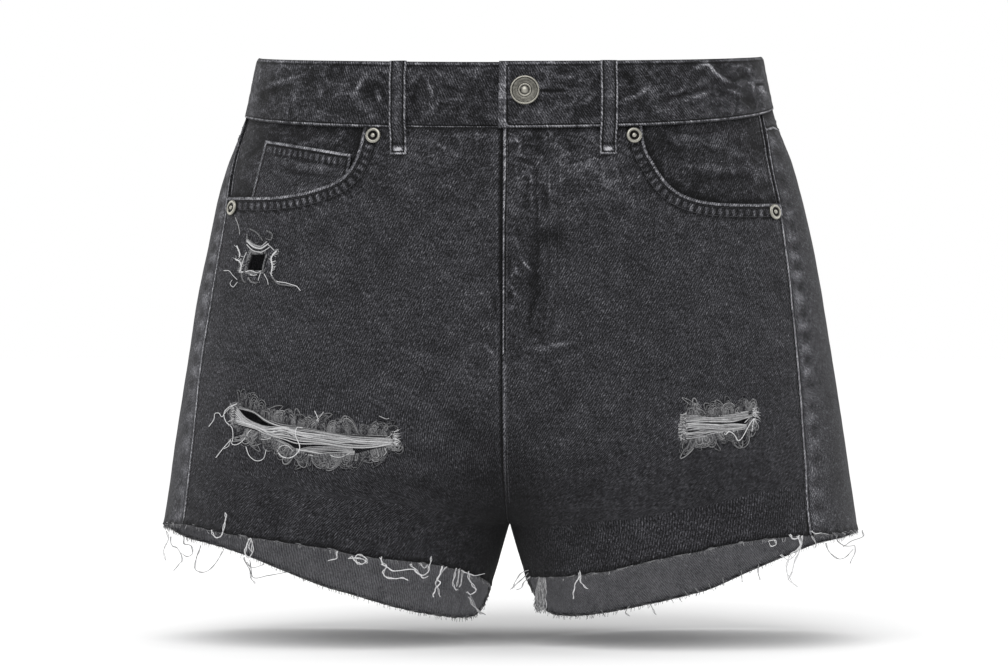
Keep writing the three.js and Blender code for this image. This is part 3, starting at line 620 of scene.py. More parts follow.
@dataclass(frozen=True)
class Yarn:
    """Loose cotton yarn: white weft and grey warp, soft and matt, told apart by an attribute."""

    name: str
    dark: str
    light: str
    fluff: float = 0.9

    def build(self) -> bpy.types.Material:
        """Builds the material."""
        material, tree, shader = new_material(self.name)
        shade = add_node(tree, "ShaderNodeAttribute", attribute_name="fade").outputs["Fac"]
        place = add_node(tree, "ShaderNodeTexCoord").outputs["Object"]
        inputs = {"Vector": place, "Scale": 1 / (self.fluff * MM), "Detail": 3.0}
        fluff = add_node(tree, "ShaderNodeTexNoise", inputs).outputs[0]
        value = weigh(tree, 0.0, ((shade, 1.0, 0.0), (fluff, 0.5, 0.5)))
        tree.links.new(add_ramp(tree, value, {0.0: self.dark, 1.0: self.light}), shader.inputs["Base Color"])
        add_bump(tree, shader, fluff, 0.5, 0.12)
        set_inputs(shader, {"Roughness": 0.95, "Specular IOR Level": 0.15})
        return material


@dataclass(frozen=True)
class AntiqueNickel:
    """Stamped brass with an antique nickel plate: warm grey, dull in its hollows and bright where rubbed."""

    name: str
    dull: str
    bright: str
    roughness: float
    stain: float = 1.6

    def build(self) -> bpy.types.Material:
        """Builds the material."""
        material, tree, shader = new_material(self.name)
        place = add_node(tree, "ShaderNodeTexCoord").outputs["Object"]
        worn = add_node(tree, "ShaderNodeAttribute", attribute_name="fade").outputs["Fac"]
        inputs = {"Vector": place, "Scale": 1 / (self.stain * MM), "Detail": 4.0}
        stain = add_node(tree, "ShaderNodeTexNoise", inputs).outputs[0]
        value = weigh(tree, 0.44, ((worn, 0.56, 0.0), (stain, 0.7, 0.5)))
        tree.links.new(add_ramp(tree, value, {0.0: self.dull, 1.0: self.bright}), shader.inputs["Base Color"])
        add_bump(tree, shader, stain, 0.3, 0.1)
        set_inputs(shader, {"Metallic": 0.9, "Roughness": self.roughness})
        return material


@dataclass
class Finishes:
    """The finishes of the shorts, each built once."""

    face: bpy.types.Material = field(init=False)
    reverse: bpy.types.Material = field(init=False)
    raw_edge: bpy.types.Material = field(init=False)
    yarn: bpy.types.Material = field(init=False)
    thread: bpy.types.Material = field(init=False)
    metal: bpy.types.Material = field(init=False)

    def __post_init__(self) -> None:
        """Builds every material."""
        face = (
            (0.0, "#060607"), (0.2, "#121214"), (0.4, "#29292c"), (0.6, "#4a4a4e"), (0.8, "#757579"),
            (1.0, "#aaaaae"),
        )
        back = ((0.0, "#18181a"), (0.25, "#47474b"), (0.5, "#7f7f83"), (1.0, "#c6c6ca"))
        self.face = Denim("washed_black_denim", face).build()
        reverse = Denim("denim_reverse", back, lean=-28, speckle=0.55, start=0.52, wear=0.0, deep=0.5)
        self.reverse = reverse.build()
        self.raw_edge = Denim("denim_raw_edge", back, start=0.0, wear=0.0).build()
        self.yarn = Yarn("cotton_yarn", "#2c2c2f", "#dededf").build()
        self.thread = Yarn("tonal_sewing_thread", "#1b1b1d", "#77777b").build()
        self.metal = AntiqueNickel("antique_nickel_plate", "#12110f", "#a09e95", 0.4).build()

    @property
    def cloth(self) -> list[bpy.types.Material]:
        """The face, the reverse and the raw edge, in the order that a thickened sheet has them."""
        return [self.face, self.reverse, self.raw_edge]


def mesh_object(
    name: str,
    points: np.ndarray,
    faces: Sequence[Sequence[int]],
    fade: np.ndarray,
    cut: np.ndarray | None = None,
    seam: np.ndarray | None = None,
) -> bpy.types.Object:
    """Makes an object from points in millimetres.

    Args:
        name: The piece's name.
        points: The places of the vertices.
        faces: The corners of each face.
        fade: How worn each vertex is; on the cloth it also holds painted shade in places.
        cut: Each vertex's place on the flat cloth, in millimetres.
        seam: Each vertex's nearness to an edge, place along it and marbling, and the edge's wear and puckers.

    Returns:
        The object, smooth shaded, with its attributes and its "Cut" map.
    """
    mesh = bpy.data.meshes.new(name)
    mesh.from_pydata((np.asarray(points) * MM).tolist(), [], [list(f) for f in faces])
    mesh.polygons.foreach_set("use_smooth", [True] * len(mesh.polygons))
    layer = mesh.attributes.new("fade", "FLOAT", "POINT")
    layer.data.foreach_set("value", np.asarray(fade, np.float32).ravel())
    if seam is not None:
        for key, columns in (("seam", seam[:, :3]), ("pull", seam[:, 3:])):
            layer = mesh.attributes.new(key, "FLOAT_VECTOR", "POINT")
            layer.data.foreach_set("vector", np.asarray(columns, np.float32).ravel())
    if cut is not None:
        corners = np.zeros(len(mesh.loops), int)
        mesh.loops.foreach_get("vertex_index", corners)
        mesh.uv_layers.new(name="Cut").data.foreach_set("uv", (np.asarray(cut) * MM)[corners].ravel())
    obj = bpy.data.objects.new(name, mesh)
    bpy.context.collection.objects.link(obj)
    return obj


def apply_solidify(obj: bpy.types.Object, thickness: float) -> None:
    """Thickens a sheet inwards, with its reverse and its raw edge in their own materials."""
    bpy.ops.object.select_all(action="DESELECT")
    obj.select_set(True)
    bpy.context.view_layer.objects.active = obj
    wall = obj.modifiers.new("cloth", "SOLIDIFY")
    wall.thickness = thickness * MM
    wall.offset = -1
    wall.material_offset = 1
    wall.material_offset_rim = 2
    bpy.ops.object.modifier_apply(modifier=wall.name)


@dataclass
class Relief:
    """What is worked into a piece of cloth: how far each point stands out, and how worn it is, with painted
    shade in places.
    """

    shape: tuple[int, ...]
    lift: np.ndarray = field(init=False)
    fade: np.ndarray = field(init=False)
    seam: np.ndarray = field(init=False)

    def __post_init__(self) -> None:
        """Starts flat and unworn."""
        self.lift = np.zeros(self.shape)
        self.fade = np.zeros(self.shape)
        self.seam = np.zeros((*self.shape, 6))

    def edge(
        self,
        d: np.ndarray,
        along: np.ndarray,
        reach: np.ndarray | float = 10,
        wear: np.ndarray | float = 1.0,
        pucker: float = 0.0,
    ) -> None:
        """Marks a turned and stitched edge.

        Args:
            d: The distance to the edge.
            along: The distance along it.
            reach: How far its marks go; the worn line is a tenth of it.
            wear: How worn the edge is.
            pucker: How strongly the stitches draw the cloth together.
        """
        near = np.clip(1 - np.abs(d) / reach, 0, 1)
        closer = near > self.seam[..., 0]
        for column, value in ((0, near), (1, along), (3, wear), (4, pucker)):
            self.seam[..., column] = np.where(closer, value, self.seam[..., column])

    def marble(self, amount: np.ndarray | float) -> None:
        """Sets how marbled the washed cloth is."""
        self.seam[..., 2] = amount

    def line(self, d: np.ndarray, at: float, width: float, lift: float = 0, fade: float = 0) -> None:
        """Adds a ridge or groove at a distance from an edge."""
        hump = bump((d - at) / width)
        self.lift += lift * hump
        self.fade += fade * hump

    def plateau(self, d: np.ndarray, until: float, soft: float, lift: float, fade: float = 0) -> None:
        """Adds an even strip from an edge to a distance."""
        strip = 1 - smooth((d - until + soft) / soft)
        self.lift += lift * strip
        self.fade += fade * strip

    def pucker(
        self,
        d: np.ndarray,
        span: tuple[float, float],
        along: np.ndarray,
        pitch: float,
        lift: float,
        fade: float,
        seed: float,
    ) -> None:
        """Adds the uneven waves that a row of stitches draws up.

        Args:
            d: The distance from the edge.
            span: The strip's nearer and farther distance.
            along: The distance along the edge.
            pitch: The mean distance from wave to wave.
            lift: The waves' height.
            fade: How much the crests wear.
            seed: Sets the unevenness.
        """
        middle, reach = (span[0] + span[1]) / 2, (span[1] - span[0]) / 2
        uneven = wander(along, 0 * along, pitch * 2.3, seed)
        size = 0.55 + 0.45 * wander(along, 0 * along + 40, pitch * 3.1, seed)
        wave = np.sin(TAU * along / pitch + 3.4 * uneven) * size * bump((d - middle) / reach)
        self.lift += lift * wave
        self.fade += fade * wave

    def crease(self, x: np.ndarray, z: np.ndarray, rows: Sequence["Crease"], side: int = 0) -> None:
        """Adds the creases of one side, each a soft trough or ridge that dies out at both ends."""
        for row in (row for row in rows if row.side in (0, side)):
            a = np.array([row.x, row.z])
            b = np.array([row.to_x, row.to_z])
            bow = np.array([-(b - a)[1], (b - a)[0]]) * row.bow
            path = spline([a, (a + b) / 2 + bow, b], 5)
            d, along = path_distance(path, x, z)
            length = float(np.linalg.norm(b - a))
            share = bump((along / length - 0.5) / 0.62) * bump(d / row.width)
            self.lift += row.lift * share
            self.fade += row.fade * share

    def unevenness(
        self, x: np.ndarray, z: np.ndarray, scale: float, lift: float, fade: float, seed: float
    ) -> None:
        """Adds the cloth's own soft waves."""
        wave = wander(x, z, scale, seed)
        self.lift += lift * wave
        self.fade += fade * wave


class Crease(NamedTuple):
    """A crease between two places, with its half width, bow, height and wear, on both sides or on one."""

    x: float
    z: float
    to_x: float
    to_z: float
    width: float
    bow: float
    lift: float
    fade: float
    side: int = 0


FRONT_CREASES = (
    Crease(6.1, -48.4, 10.4, -59.4, 1.1, 0.1, 0.42, 0.95, 1),
    Crease(4.1, -49, 5.2, -53, 0.9, 0.0, 0.28, 0.76, 1),
    Crease(11, -46.2, 18.9, -50.3, 1.1, 0.15, 0.35, 0.76, 1),
    Crease(22, -45, 22.8, -49, 0.8, 0.0, 0.28, 0.76, 1),
    Crease(26.6, -44.6, 27.2, -48, 0.8, 0.0, 0.28, 0.66, 1),
    Crease(7, -62, 8, -99, 7.0, 0.0, 0.42, 0.32, 1),
    Crease(16.8, -66, 17.2, -98, 1.0, 0.0, 0.14, 0.49, 1),
    Crease(20.6, -68, 21, -96, 1.2, 0.0, 0.14, 0.49, 1),
    Crease(26.6, -65, 26.8, -86, 1.4, 0.0, 0.21, 0.57, 1),
    Crease(32.5, -68, 33.5, -81, 2.4, 0.0, 0.21, 0.38, 1),
    Crease(3.9, -106.7, 10.4, -113, 1.2, 0.05, 0.35, 0.8, 1),
    Crease(10.8, -118.6, 17.9, -128, 1.4, -0.05, 0.42, 0.95, 1),
    Crease(8.1, -123, 3.2, -131, 1.1, 0.15, 0.28, 0.65, 1),
    Crease(1.8, -133.6, 9.9, -143.6, 1.3, 0.08, 0.35, 0.85, 1),
    Crease(1.8, -146.7, 7, -148.6, 1.0, 0.0, 0.28, 0.66, 1),
    Crease(10.4, -158, 11, -164, 1.0, 0.0, 0.28, 0.66, 1),
    Crease(15.6, -153, 14.6, -157, 1.0, 0.0, 0.28, 0.57, 1),
    Crease(11, -171.8, 45.5, -164.9, 1.5, -0.06, 0.42, 0.76, 1),
    Crease(14, -107, 42, -107, 7.0, 0.0, -0.42, -0.38, 1),
    Crease(17.9, -110, 18, -150, 4.5, 0.0, -0.42, -0.35, 1),
    Crease(3.5, -117, 3.5, -130, 1.6, 0.0, -0.14, -0.57, 1),
    Crease(4, -137, 5, -146, 1.6, 0.0, -0.14, -0.57, 1),
    Crease(26.6, -131, 15.6, -164, 1.8, -0.12, -0.28, -0.47, 1),
    Crease(27.1, -47.9, 23.3, -52.2, 1.1, 0.0, 0.28, 0.76, -1),
    Crease(42, -49.4, 30.8, -57, 1.3, 0.05, 0.35, 0.65, -1),
    Crease(14, -45.5, 14.4, -48.8, 0.8, 0.0, 0.28, 0.66, -1),
    Crease(19, -45.5, 19.2, -48.6, 0.8, 0.0, 0.28, 0.57, -1),
    Crease(31, -45.5, 31.4, -48.6, 0.8, 0.0, 0.28, 0.57, -1),
    Crease(10.9, -167.5, 4.6, -176, 1.2, 0.0, 0.35, 0.76, -1),
    Crease(4.6, -137, 4.6, -161, 1.4, 0.0, -0.14, -0.57, -1),
    Crease(22, -178, 60, -166, 5.0, 0.05, -0.5, -0.14),
    Crease(12, -200, 34, -182, 6.0, 0.1, 0.5, 0.1),
    Crease(10, -216, 44, -196, 7.0, -0.1, -0.6, -0.12),
    Crease(16, -236, 60, -222, 8.0, 0.1, 0.6, 0.08),
    Crease(22, -258, 70, -250, 8.0, 0.05, -0.6, -0.1),
    Crease(90, -106, 112, -128, 6.0, 0.0, 0.4, 0.06),
    Crease(124, -104, 150, -112, 5.0, 0.1, -0.4, -0.06),
    Crease(140, -150, 160, -172, 8.0, 0.0, 0.5, 0.07),
    Crease(152, -120, 166, -150, 6.0, 0.0, -0.5, -0.12),
    Crease(60, -110, 84, -140, 10.0, 0.1, -0.4, -0.06),
    Crease(96, -160, 130, -176, 9.0, 0.1, 0.4, 0.05),
    Crease(70, -270, 84, -284, 8.0, 0.0, 0.6, 0.08),
    Crease(128, -256, 138, -276, 8.0, 0.0, -0.6, -0.08),
)

BACK_CREASES = (
    Crease(10, -120, 30, -140, 5.0, 0.1, 0.5, 0.2),
    Crease(8, -150, 40, -164, 7.0, -0.1, -0.7, -0.16),
    Crease(12, -182, 52, -200, 8.0, 0.1, 0.7, 0.14),
    Crease(14, -208, 70, -226, 8.0, 0.1, -0.8, -0.2),
    Crease(20, -240, 90, -252, 8.0, 0.08, 0.7, 0.12),
    Crease(150, -120, 172, -150, 8.0, 0.0, 0.5, 0.12),
    Crease(146, -190, 180, -204, 9.0, 0.1, -0.6, -0.14),
    Crease(100, -236, 150, -244, 8.0, -0.05, 0.6, 0.1),
    Crease(40, -268, 100, -276, 9.0, 0.05, -0.6, -0.12),
    Crease(120, -280, 160, -276, 7.0, 0.05, 0.6, 0.1),
)

# The scoop pockets' mouths and the rips in front view. Each outline of a rip goes round the opening.
MOUTH = {
    Side.RIGHT: (
        (80, -36), (81.4, -44), (83.5, -54), (86.5, -62.5), (91, -69.5), (97, -74), (106, -77.7), (119, -81),
        (137, -82.8), (158, -82.3), (176, -81.8), (192, -81.5),
    ),
    Side.LEFT: (
        (80, -41), (81.4, -52), (83.5, -58.5), (86.5, -63.5), (91, -71), (97, -77.8), (106, -83.2),
        (119, -86.4), (137, -87.2), (158, -86.6), (176, -86.2), (192, -86),
    ),
}
FLY_STITCH = ((26, -40), (26.1, -85), (26.2, -120), (25.1, -143), (20.5, -158), (10.2, -169), (0, -173))
COIN = ((-141.7, -48.8), (-88.5, -58.5), (-94, -94), (-152.5, -94))
RIPS = {
    "hole_threads": ((-148.3, -116), (-138.8, -116), (-141.3, -126.3), (-151.2, -125.8)),
    "rip_threads_right": (
        (-157, -209), (-153.5, -204), (-147, -205.5), (-135.5, -211.5), (-118, -215.3), (-95, -219),
        (-62, -220.7), (-62.5, -225), (-67, -228.6), (-84, -233), (-112, -233.2), (-122, -230), (-135, -223),
        (-155, -217),
    ),
    "rip_threads_left": (
        (105, -209.5), (121, -209.5), (130, -208.3), (144.5, -207), (143, -213), (139, -218), (122, -221.3),
        (105, -225),
    ),
}


@dataclass
class Patch:
    """A piece of cloth on the body, worked out on a grid of places."""

    name: str
    side: Side
    half: Half
    angle: np.ndarray
    z: np.ndarray
    base: np.ndarray | float = 0.0
    relief: Relief = field(init=False)
    keep: np.ndarray = field(init=False)

    def __post_init__(self) -> None:
        """Measures the grid along its rows and columns."""
        self.relief = Relief(self.angle.shape)
        self.keep = np.ones((self.angle.shape[0] - 1, self.angle.shape[1] - 1), bool)
        self.flat = BODY.raw(self.side, self.angle, self.z)
        self.x = np.abs(self.flat[..., 0])
        rows = np.linalg.norm(np.diff(self.flat, axis=1), axis=2)
        columns = np.linalg.norm(np.diff(self.flat, axis=0), axis=2)
        self.across = np.concatenate([np.zeros((len(rows), 1)), np.cumsum(rows, axis=1)], axis=1)
        self.down = np.concatenate([np.zeros((1, columns.shape[1])), np.cumsum(columns, axis=0)], axis=0)

    @property
    def to_side(self) -> np.ndarray:
        """The distance to the piece's last column."""
        return self.across[:, -1:] - self.across

    @property
    def to_hem(self) -> np.ndarray:
        """The distance to the piece's last row."""
        return self.down[-1:, :] - self.down

    def cut_out(self, outline: np.ndarray) -> None:
        """Cuts an outline in front view out of the grid, and moves the edge's points onto it."""
        x = self.side.value * self.x
        centre_x = (x[:-1, :-1] + x[1:, 1:] + x[1:, :-1] + x[:-1, 1:]) / 4
        centre_z = (self.z[:-1, :-1] + self.z[1:, 1:] + self.z[1:, :-1] + self.z[:-1, 1:]) / 4
        gone = inside(outline, centre_x, centre_z)
        near_gone = np.zeros(self.z.shape, bool)
        near_kept = np.zeros(self.z.shape, bool)
        for i in (0, 1):
            for j in (0, 1):
                rows, columns = slice(i, i + gone.shape[0]), slice(j, j + gone.shape[1])
                near_gone[rows, columns] |= gone
                near_kept[rows, columns] |= ~gone & self.keep
        for i, j in zip(*np.nonzero(near_gone & near_kept)):
            here = np.array([x[i, j], self.z[i, j]])
            target = nearest_on(outline, here)
            if np.linalg.norm(target - here) < 4:
                self.z[i, j] = target[1]
                self.angle[i, j] = BODY.angle_at(target[0], target[1])
        self.keep &= ~gone
        self.flat = BODY.raw(self.side, self.angle, self.z)
        self.x = np.abs(self.flat[..., 0])

    def build(self, finishes: Finishes, thickness: float = 1.1) -> bpy.types.Object:
        """Builds the piece as a thickened sheet.

        Args:
            finishes: The finishes of the shorts.
            thickness: The cloth's thickness.

        Returns:
            The piece.
        """
        shift = np.array([0, self.half.value * GAP / 2, 0])
        points = BODY.skin(self.side, self.angle, self.z, self.base + self.relief.lift) + shift
        normals = BODY.normal(self.side, self.angle, self.z)
        rows, columns = self.angle.shape
        index = np.arange(rows * columns).reshape(rows, columns)
        quads = np.stack([index[:-1, :-1], index[1:, :-1], index[1:, 1:], index[:-1, 1:]], axis=-1)
        flat = points.reshape(-1, 3)
        probe = quads[rows // 2, columns // 2]
        facing = np.cross(flat[probe[1]] - flat[probe[0]], flat[probe[2]] - flat[probe[0]])
        if np.dot(facing, normals.reshape(-1, 3)[probe[0]]) < 0:
            quads = quads[..., ::-1]
        quads = quads[self.keep]
        used = np.unique(quads)
        renumber = np.zeros(rows * columns, int)
        renumber[used] = np.arange(len(used))
        cut = np.stack([self.across * self.side.value, self.z], axis=-1).reshape(-1, 2)
        seam = self.relief.seam.reshape(-1, 6)
        obj = mesh_object(
            self.name, flat[used], renumber[quads], self.relief.fade.ravel()[used], cut[used], seam[used]
        )
        for material in finishes.cloth:
            obj.data.materials.append(material)
        apply_solidify(obj, thickness)
        return obj


def nearest_on(outline: np.ndarray, here: np.ndarray) -> np.ndarray:
    """The nearest point to a place on a closed outline."""
    best, found = 1e9, here
    for a, b in zip(outline, np.roll(outline, -1, axis=0)):
        d = b - a
        t = np.clip(np.dot(here - a, d) / max(np.dot(d, d), 1e-9), 0, 1)
        away = np.linalg.norm(here - a - t * d)
        if away < best:
            best, found = away, a + t * d
    return found


def quarter(side: Side, half: Half, columns: int, rows: int) -> tuple[np.ndarray, np.ndarray]:
    """Angles and heights of a grid over one quarter, from the middle seam to the side seam and top to hem."""
    sign = half.value
    u, v = np.meshgrid(np.linspace(0, 1, columns), np.linspace(0, 1, rows))
    foot = BODY.yoke_foot if half is Half.BACK else BODY.band_foot
    top_angle = blend(sign * math.pi / 2, BODY.seam_angle(side, BODY.panel_top), u)
    top_z = foot(side, top_angle) + TUCK
    hem_z = BODY.hem(side, blend(sign * math.pi, BODY.seam_angle(side, BODY.side_hem), u))
    drop = np.linspace(0, 1, 161)
    line_z = blend(top_z[0, 0], hem_z[0, 0], drop)
    line = BODY.raw(Side.LEFT, sign * BODY.inner_angle(line_z), line_z)
    runs = run_lengths(line)
    share = np.interp(v * runs[-1], runs, drop)
    z = blend(top_z, hem_z, blend(v, share, (1 - u) ** 1.5))
    return blend(sign * BODY.inner_angle(z), BODY.seam_angle(side, z), u), z


@dataclass
class Panels:
    """The fronts, backs and yokes."""

    finishes: Finishes
    columns: int = 170
    rows: int = 158
    mouth_band: float = 8.2

    def front(self, side: Side) -> bpy.types.Object:
        """Makes one front with its pocket mouth, fly or fly seam, side seam, rips and creases."""
        angle, z = quarter(side, Half.FRONT, self.columns, self.rows)
        patch = Patch(f"front_{side.word}_cloth", side, Half.FRONT, angle, z)
        mouth = spline(MOUTH[side])
        opening = np.vstack([mouth, [[192, -20], [mouth[0][0], -20]]])
        patch.cut_out(opening * [side.value, 1])
        for outline in RIPS.values():
            if np.sign(outline[0][0]) == side.value:
                patch.cut_out(np.array(outline, float))
        relief = patch.relief
        x, z = patch.x, patch.z
        d, along = path_distance(mouth, x, z)
        relief.edge(d, along, wear=0.72, pucker=0.9)
        relief.plateau(d, self.mouth_band, 1.2, 0.5, -0.04)
        relief.line(d, 0.6, 1.6, 0.3, 0.05)
        relief.line(d, self.mouth_band, 1.3, -0.25, -0.5)
        relief.pucker(d, (8.2, 15), along, 5.2, 0.12, 0.2, 5.5)
        self.side_seam(patch)
        self.waist_edge(patch)
        self.fly(patch)
        self.rip_rims(patch)
        self.hem_edge(patch)
        washed = 0.7 if side is Side.LEFT else 0.35
        beside_fly = 0.12 * bump((x - 14) / 40) * smooth((z + 215) / 60)
        relief.marble(washed * smooth((z + 125) / 80) + beside_fly + 0.08)
        relief.crease(x, z, FRONT_CREASES, side.value)
        relief.unevenness(x, z, 34, 0.5, 0.05, 11 + side.value)
        relief.unevenness(x, z, 9, 0.12, 0.07, 21 + side.value)
        # Painted shade on the inner thighs, darker near the middle towards the crotch; the whole front is also
        # a little darker lower down.
        inner = smooth((-196 - z) / 60) * smooth((44 - x) / 40)
        relief.fade -= 0.2 * inner + 0.1 * smooth((-200 - z) / 60)
        patch.base = self.fly_lift(patch) if side is Side.LEFT else 0.0
        piece = patch.build(self.finishes)
        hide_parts(f"front_{side.word}")
        return piece

    @staticmethod
    def fly_lift(patch: Patch) -> np.ndarray:
        """How far the left front stands proud where it lies over the right one."""
        down = (BODY.band_foot(Side.LEFT, np.array(-math.pi / 2)) - patch.z) / 133 - 0.6
        return 0.9 * bump(np.clip(patch.x / 40, 0, 1)) * bump(np.clip(down, 0, 1))

    @staticmethod
    def side_seam(patch: Patch) -> None:
        """Works the felled side seam into a panel: a worn ridge with a dark line, and blotches beside it."""
        d, z = patch.to_side, patch.z
        front = patch.half is Half.FRONT
        if front:
            patch.relief.edge(d, z, wear=0.85)
            patch.relief.line(d, 0.9, 1.8, 0.4, 0.05)
        else:
            patch.relief.edge(d, z, 7, wear=0.8 * smooth((z + 90) / 6))
            patch.relief.fade -= 0.5 * bump(d / 1.2) * smooth((-84 - z) / 6)
        patch.relief.line(d, 4.5, 3.5, 0.15, 0.04 if front else 0.15)
        patch.relief.pucker(d, (0.5, 9 if front else 17), z, 13.5, 0.2, 0.05 if front else 0.5, 7.5)

    @staticmethod
    def waist_edge(patch: Patch) -> None:
        """Works in the shadow and small puckers under the waistband."""
        d = patch.down
        patch.relief.line(d, 0.0, 3.2, 0.0, -0.6)
        patch.relief.pucker(d, (2.5, 10), patch.across, 4.6, 0.12, 0.14, 3.5 + patch.side.value)

    @staticmethod
    def fly(patch: Patch) -> None:
        """Works in the fly's worn edge and curved stitching, or, on the right front, a dark middle line:
        painted shadow under the left front's lap, and the seam's line below the fly.
        """
        s, x, z = patch.across, patch.x, patch.z
        relief = patch.relief
        above = smooth((z + 182) / 8)
        below = 1 - above
        if patch.side is Side.LEFT:
            relief.edge(s + 12 * below, z, 5.5 + 4.5 * smooth((z + 110) / 50), wear=0.85)
            relief.lift += above * 0.35 * bump((s - 1.2) / 2.4)
            relief.fade += below * 0.75 * bump((s - 0.8) / 1.3)
            d, along = path_distance(spline(FLY_STITCH), x, z)
            for offset in (0.0, 6.0):
                relief.line(d, offset, 1.2, -0.15, -0.2)
            relief.pucker(d, (0, 7), along, 6.5, 0.12, 0.05, 9.5)
            relief.fade -= 0.1 * smooth((27 - x) / 6) * smooth((z + 172) / 10)
            tack = bump((x - 9) / 12) * bump((z + 166) / 11)
            relief.fade += tack * 0.25 * wander(x * 1.0, z, 3.2, 3.3)
        else:
            # Painted shadow along the middle edge, where the left front laps over it at the fly; below the
            # fly, the seam's dark line.
            relief.fade -= 0.9 * bump(s / 2.0)
            relief.line(s, 3.3, 1.6, 0.12, 0.1)
        relief.pucker(s, (0, 7), z, 9.0, 0.1, 0.03, 2.5)

    @staticmethod
    def rip_rims(patch: Patch) -> None:
        """Works in the thin and lifted cloth round each tear."""
        for outline in RIPS.values():
            if np.sign(outline[0][0]) != patch.side.value:
                continue
            ring = np.array(outline + outline[:1], float)
            d, along = path_distance(ring, patch.side.value * patch.x, patch.z)
            patch.relief.line(d, 0.0, 9.0, 0.35, 0.0)
            patch.relief.line(d, 0.0, 7.5, 0.0, 0.2)
            patch.relief.pucker(d, (-3, 9), along, 6.0, 0.3, 0.16, 6.5)

    @staticmethod
    def hem_edge(patch: Patch) -> None:
        """Works in the dark, slightly rolled raw edge."""
        d = patch.to_hem
        patch.relief.line(d, 0.0, 3.0, 0.45, -0.45)
        patch.relief.pucker(d, (-6, 9), patch.across, 11.0, 0.5, 0.08, 8.5 + patch.side.value)

    def back(self, side: Side) -> bpy.types.Object:
        """Makes one back with its felled middle seam, side seam and creases."""
        angle, z = quarter(side, Half.BACK, self.columns, self.rows)
        patch = Patch(f"back_{side.word}_cloth", side, Half.BACK, angle, z)
        relief = patch.relief
        self.side_seam(patch)
        self.hem_edge(patch)
        s = patch.across
        if side is Side.LEFT:
            relief.edge(s, patch.z, wear=0.8 * smooth((patch.z + 268) / 30), pucker=0.4)
            relief.line(s, 1.0, 1.3, 0.3, 0.0)
        relief.line(s, 0.0, 1.2, -0.2, -0.5 if side is Side.RIGHT else 0.0)
        # Painted shadow under the yoke's edge.
        relief.line(patch.down, 0.0, 1.8, 0.0, -0.6)
        relief.pucker(patch.down, (1.5, 9), patch.across, 6.2, 0.15, 0.15, 15.5)
        relief.marble(0.1 + 0.25 * smooth((patch.z + 160) / 80))
        relief.crease(patch.x, patch.z, BACK_CREASES)
        relief.unevenness(patch.x, patch.z, 34, 0.5, 0.05, 31 + side.value)
        relief.unevenness(patch.x, patch.z, 9, 0.12, 0.07, 41 + side.value)
        relief.fade += 0.18 * bump(patch.to_side / 34) * smooth((-60 - patch.z) / 80)
        piece = patch.build(self.finishes)
        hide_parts(f"back_{side.word}")
        return piece

    def yoke(self, side: Side) -> bpy.types.Object:
        """Makes one back yoke."""
        u, v = np.meshgrid(np.linspace(0, 1, 120), np.linspace(0, 1, 30))
        around = blend(math.pi / 2, BODY.seam_angle(side, BODY.panel_top), u)
        z = blend(BODY.band_foot(side, around) + TUCK, BODY.yoke_foot(side, around), v)
        angle = blend(math.pi / 2, BODY.seam_angle(side, z), u)
        patch = Patch(f"yoke_{side.word}_cloth", side, Half.BACK, angle, z)
        self.waist_edge(patch)
        relief = patch.relief
        relief.edge(patch.to_hem, patch.across, wear=0.85, pucker=0.5)
        relief.line(patch.to_hem, 0.9, 1.5, 0.35, 0.0)
        relief.line(patch.to_hem, 8.5, 1.2, -0.1, -0.3)
        if side is Side.LEFT:
            relief.edge(patch.across, patch.z, pucker=0.4)
        relief.edge(patch.to_side, patch.z, 7, wear=0.8)
        relief.pucker(patch.to_side, (0.5, 14), patch.z, 11, 0.2, 0.4, 8.5)
        relief.marble(0.4)
        relief.unevenness(patch.x, patch.z, 12, 0.15, 0.1, 51 + side.value)
        piece = patch.build(self.finishes)
        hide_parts(f"yoke_{side.word}")
        return piece

    def build(self) -> list[bpy.types.Object]:
        """Makes all the panels."""
        made = []
        for side in Side:
            made += [self.front(side), self.back(side), self.yoke(side)]
        return made


FACING_CREASES = (
    Crease(92, -50, 128, -56, 3.0, 0.1, 0.3, 0.3),
    Crease(100, -62, 150, -66, 4.0, -0.05, 0.4, 0.3),
    Crease(110, -74, 146, -72, 3.5, 0.05, -0.4, -0.3),
    Crease(88, -44, 104, -62, 3.5, 0.0, -0.3, -0.3),
    Crease(126, -48, 152, -80, 4.5, 0.1, 0.3, 0.25),
    Crease(140, -46, 158, -60, 3.5, 0.0, -0.3, -0.3),
)

COIN_CREASES = (
    Crease(96, -68, 132, -62, 2.0, 0.0, 0.2, 0.3),
    Crease(98, -72, 134, -67, 1.8, 0.0, -0.2, -0.4),
    Crease(104, -78, 128, -84, 3.0, 0.1, 0.25, 0.2),
    Crease(116, -70, 122, -88, 3.0, 0.0, 0.2, 0.15),
)


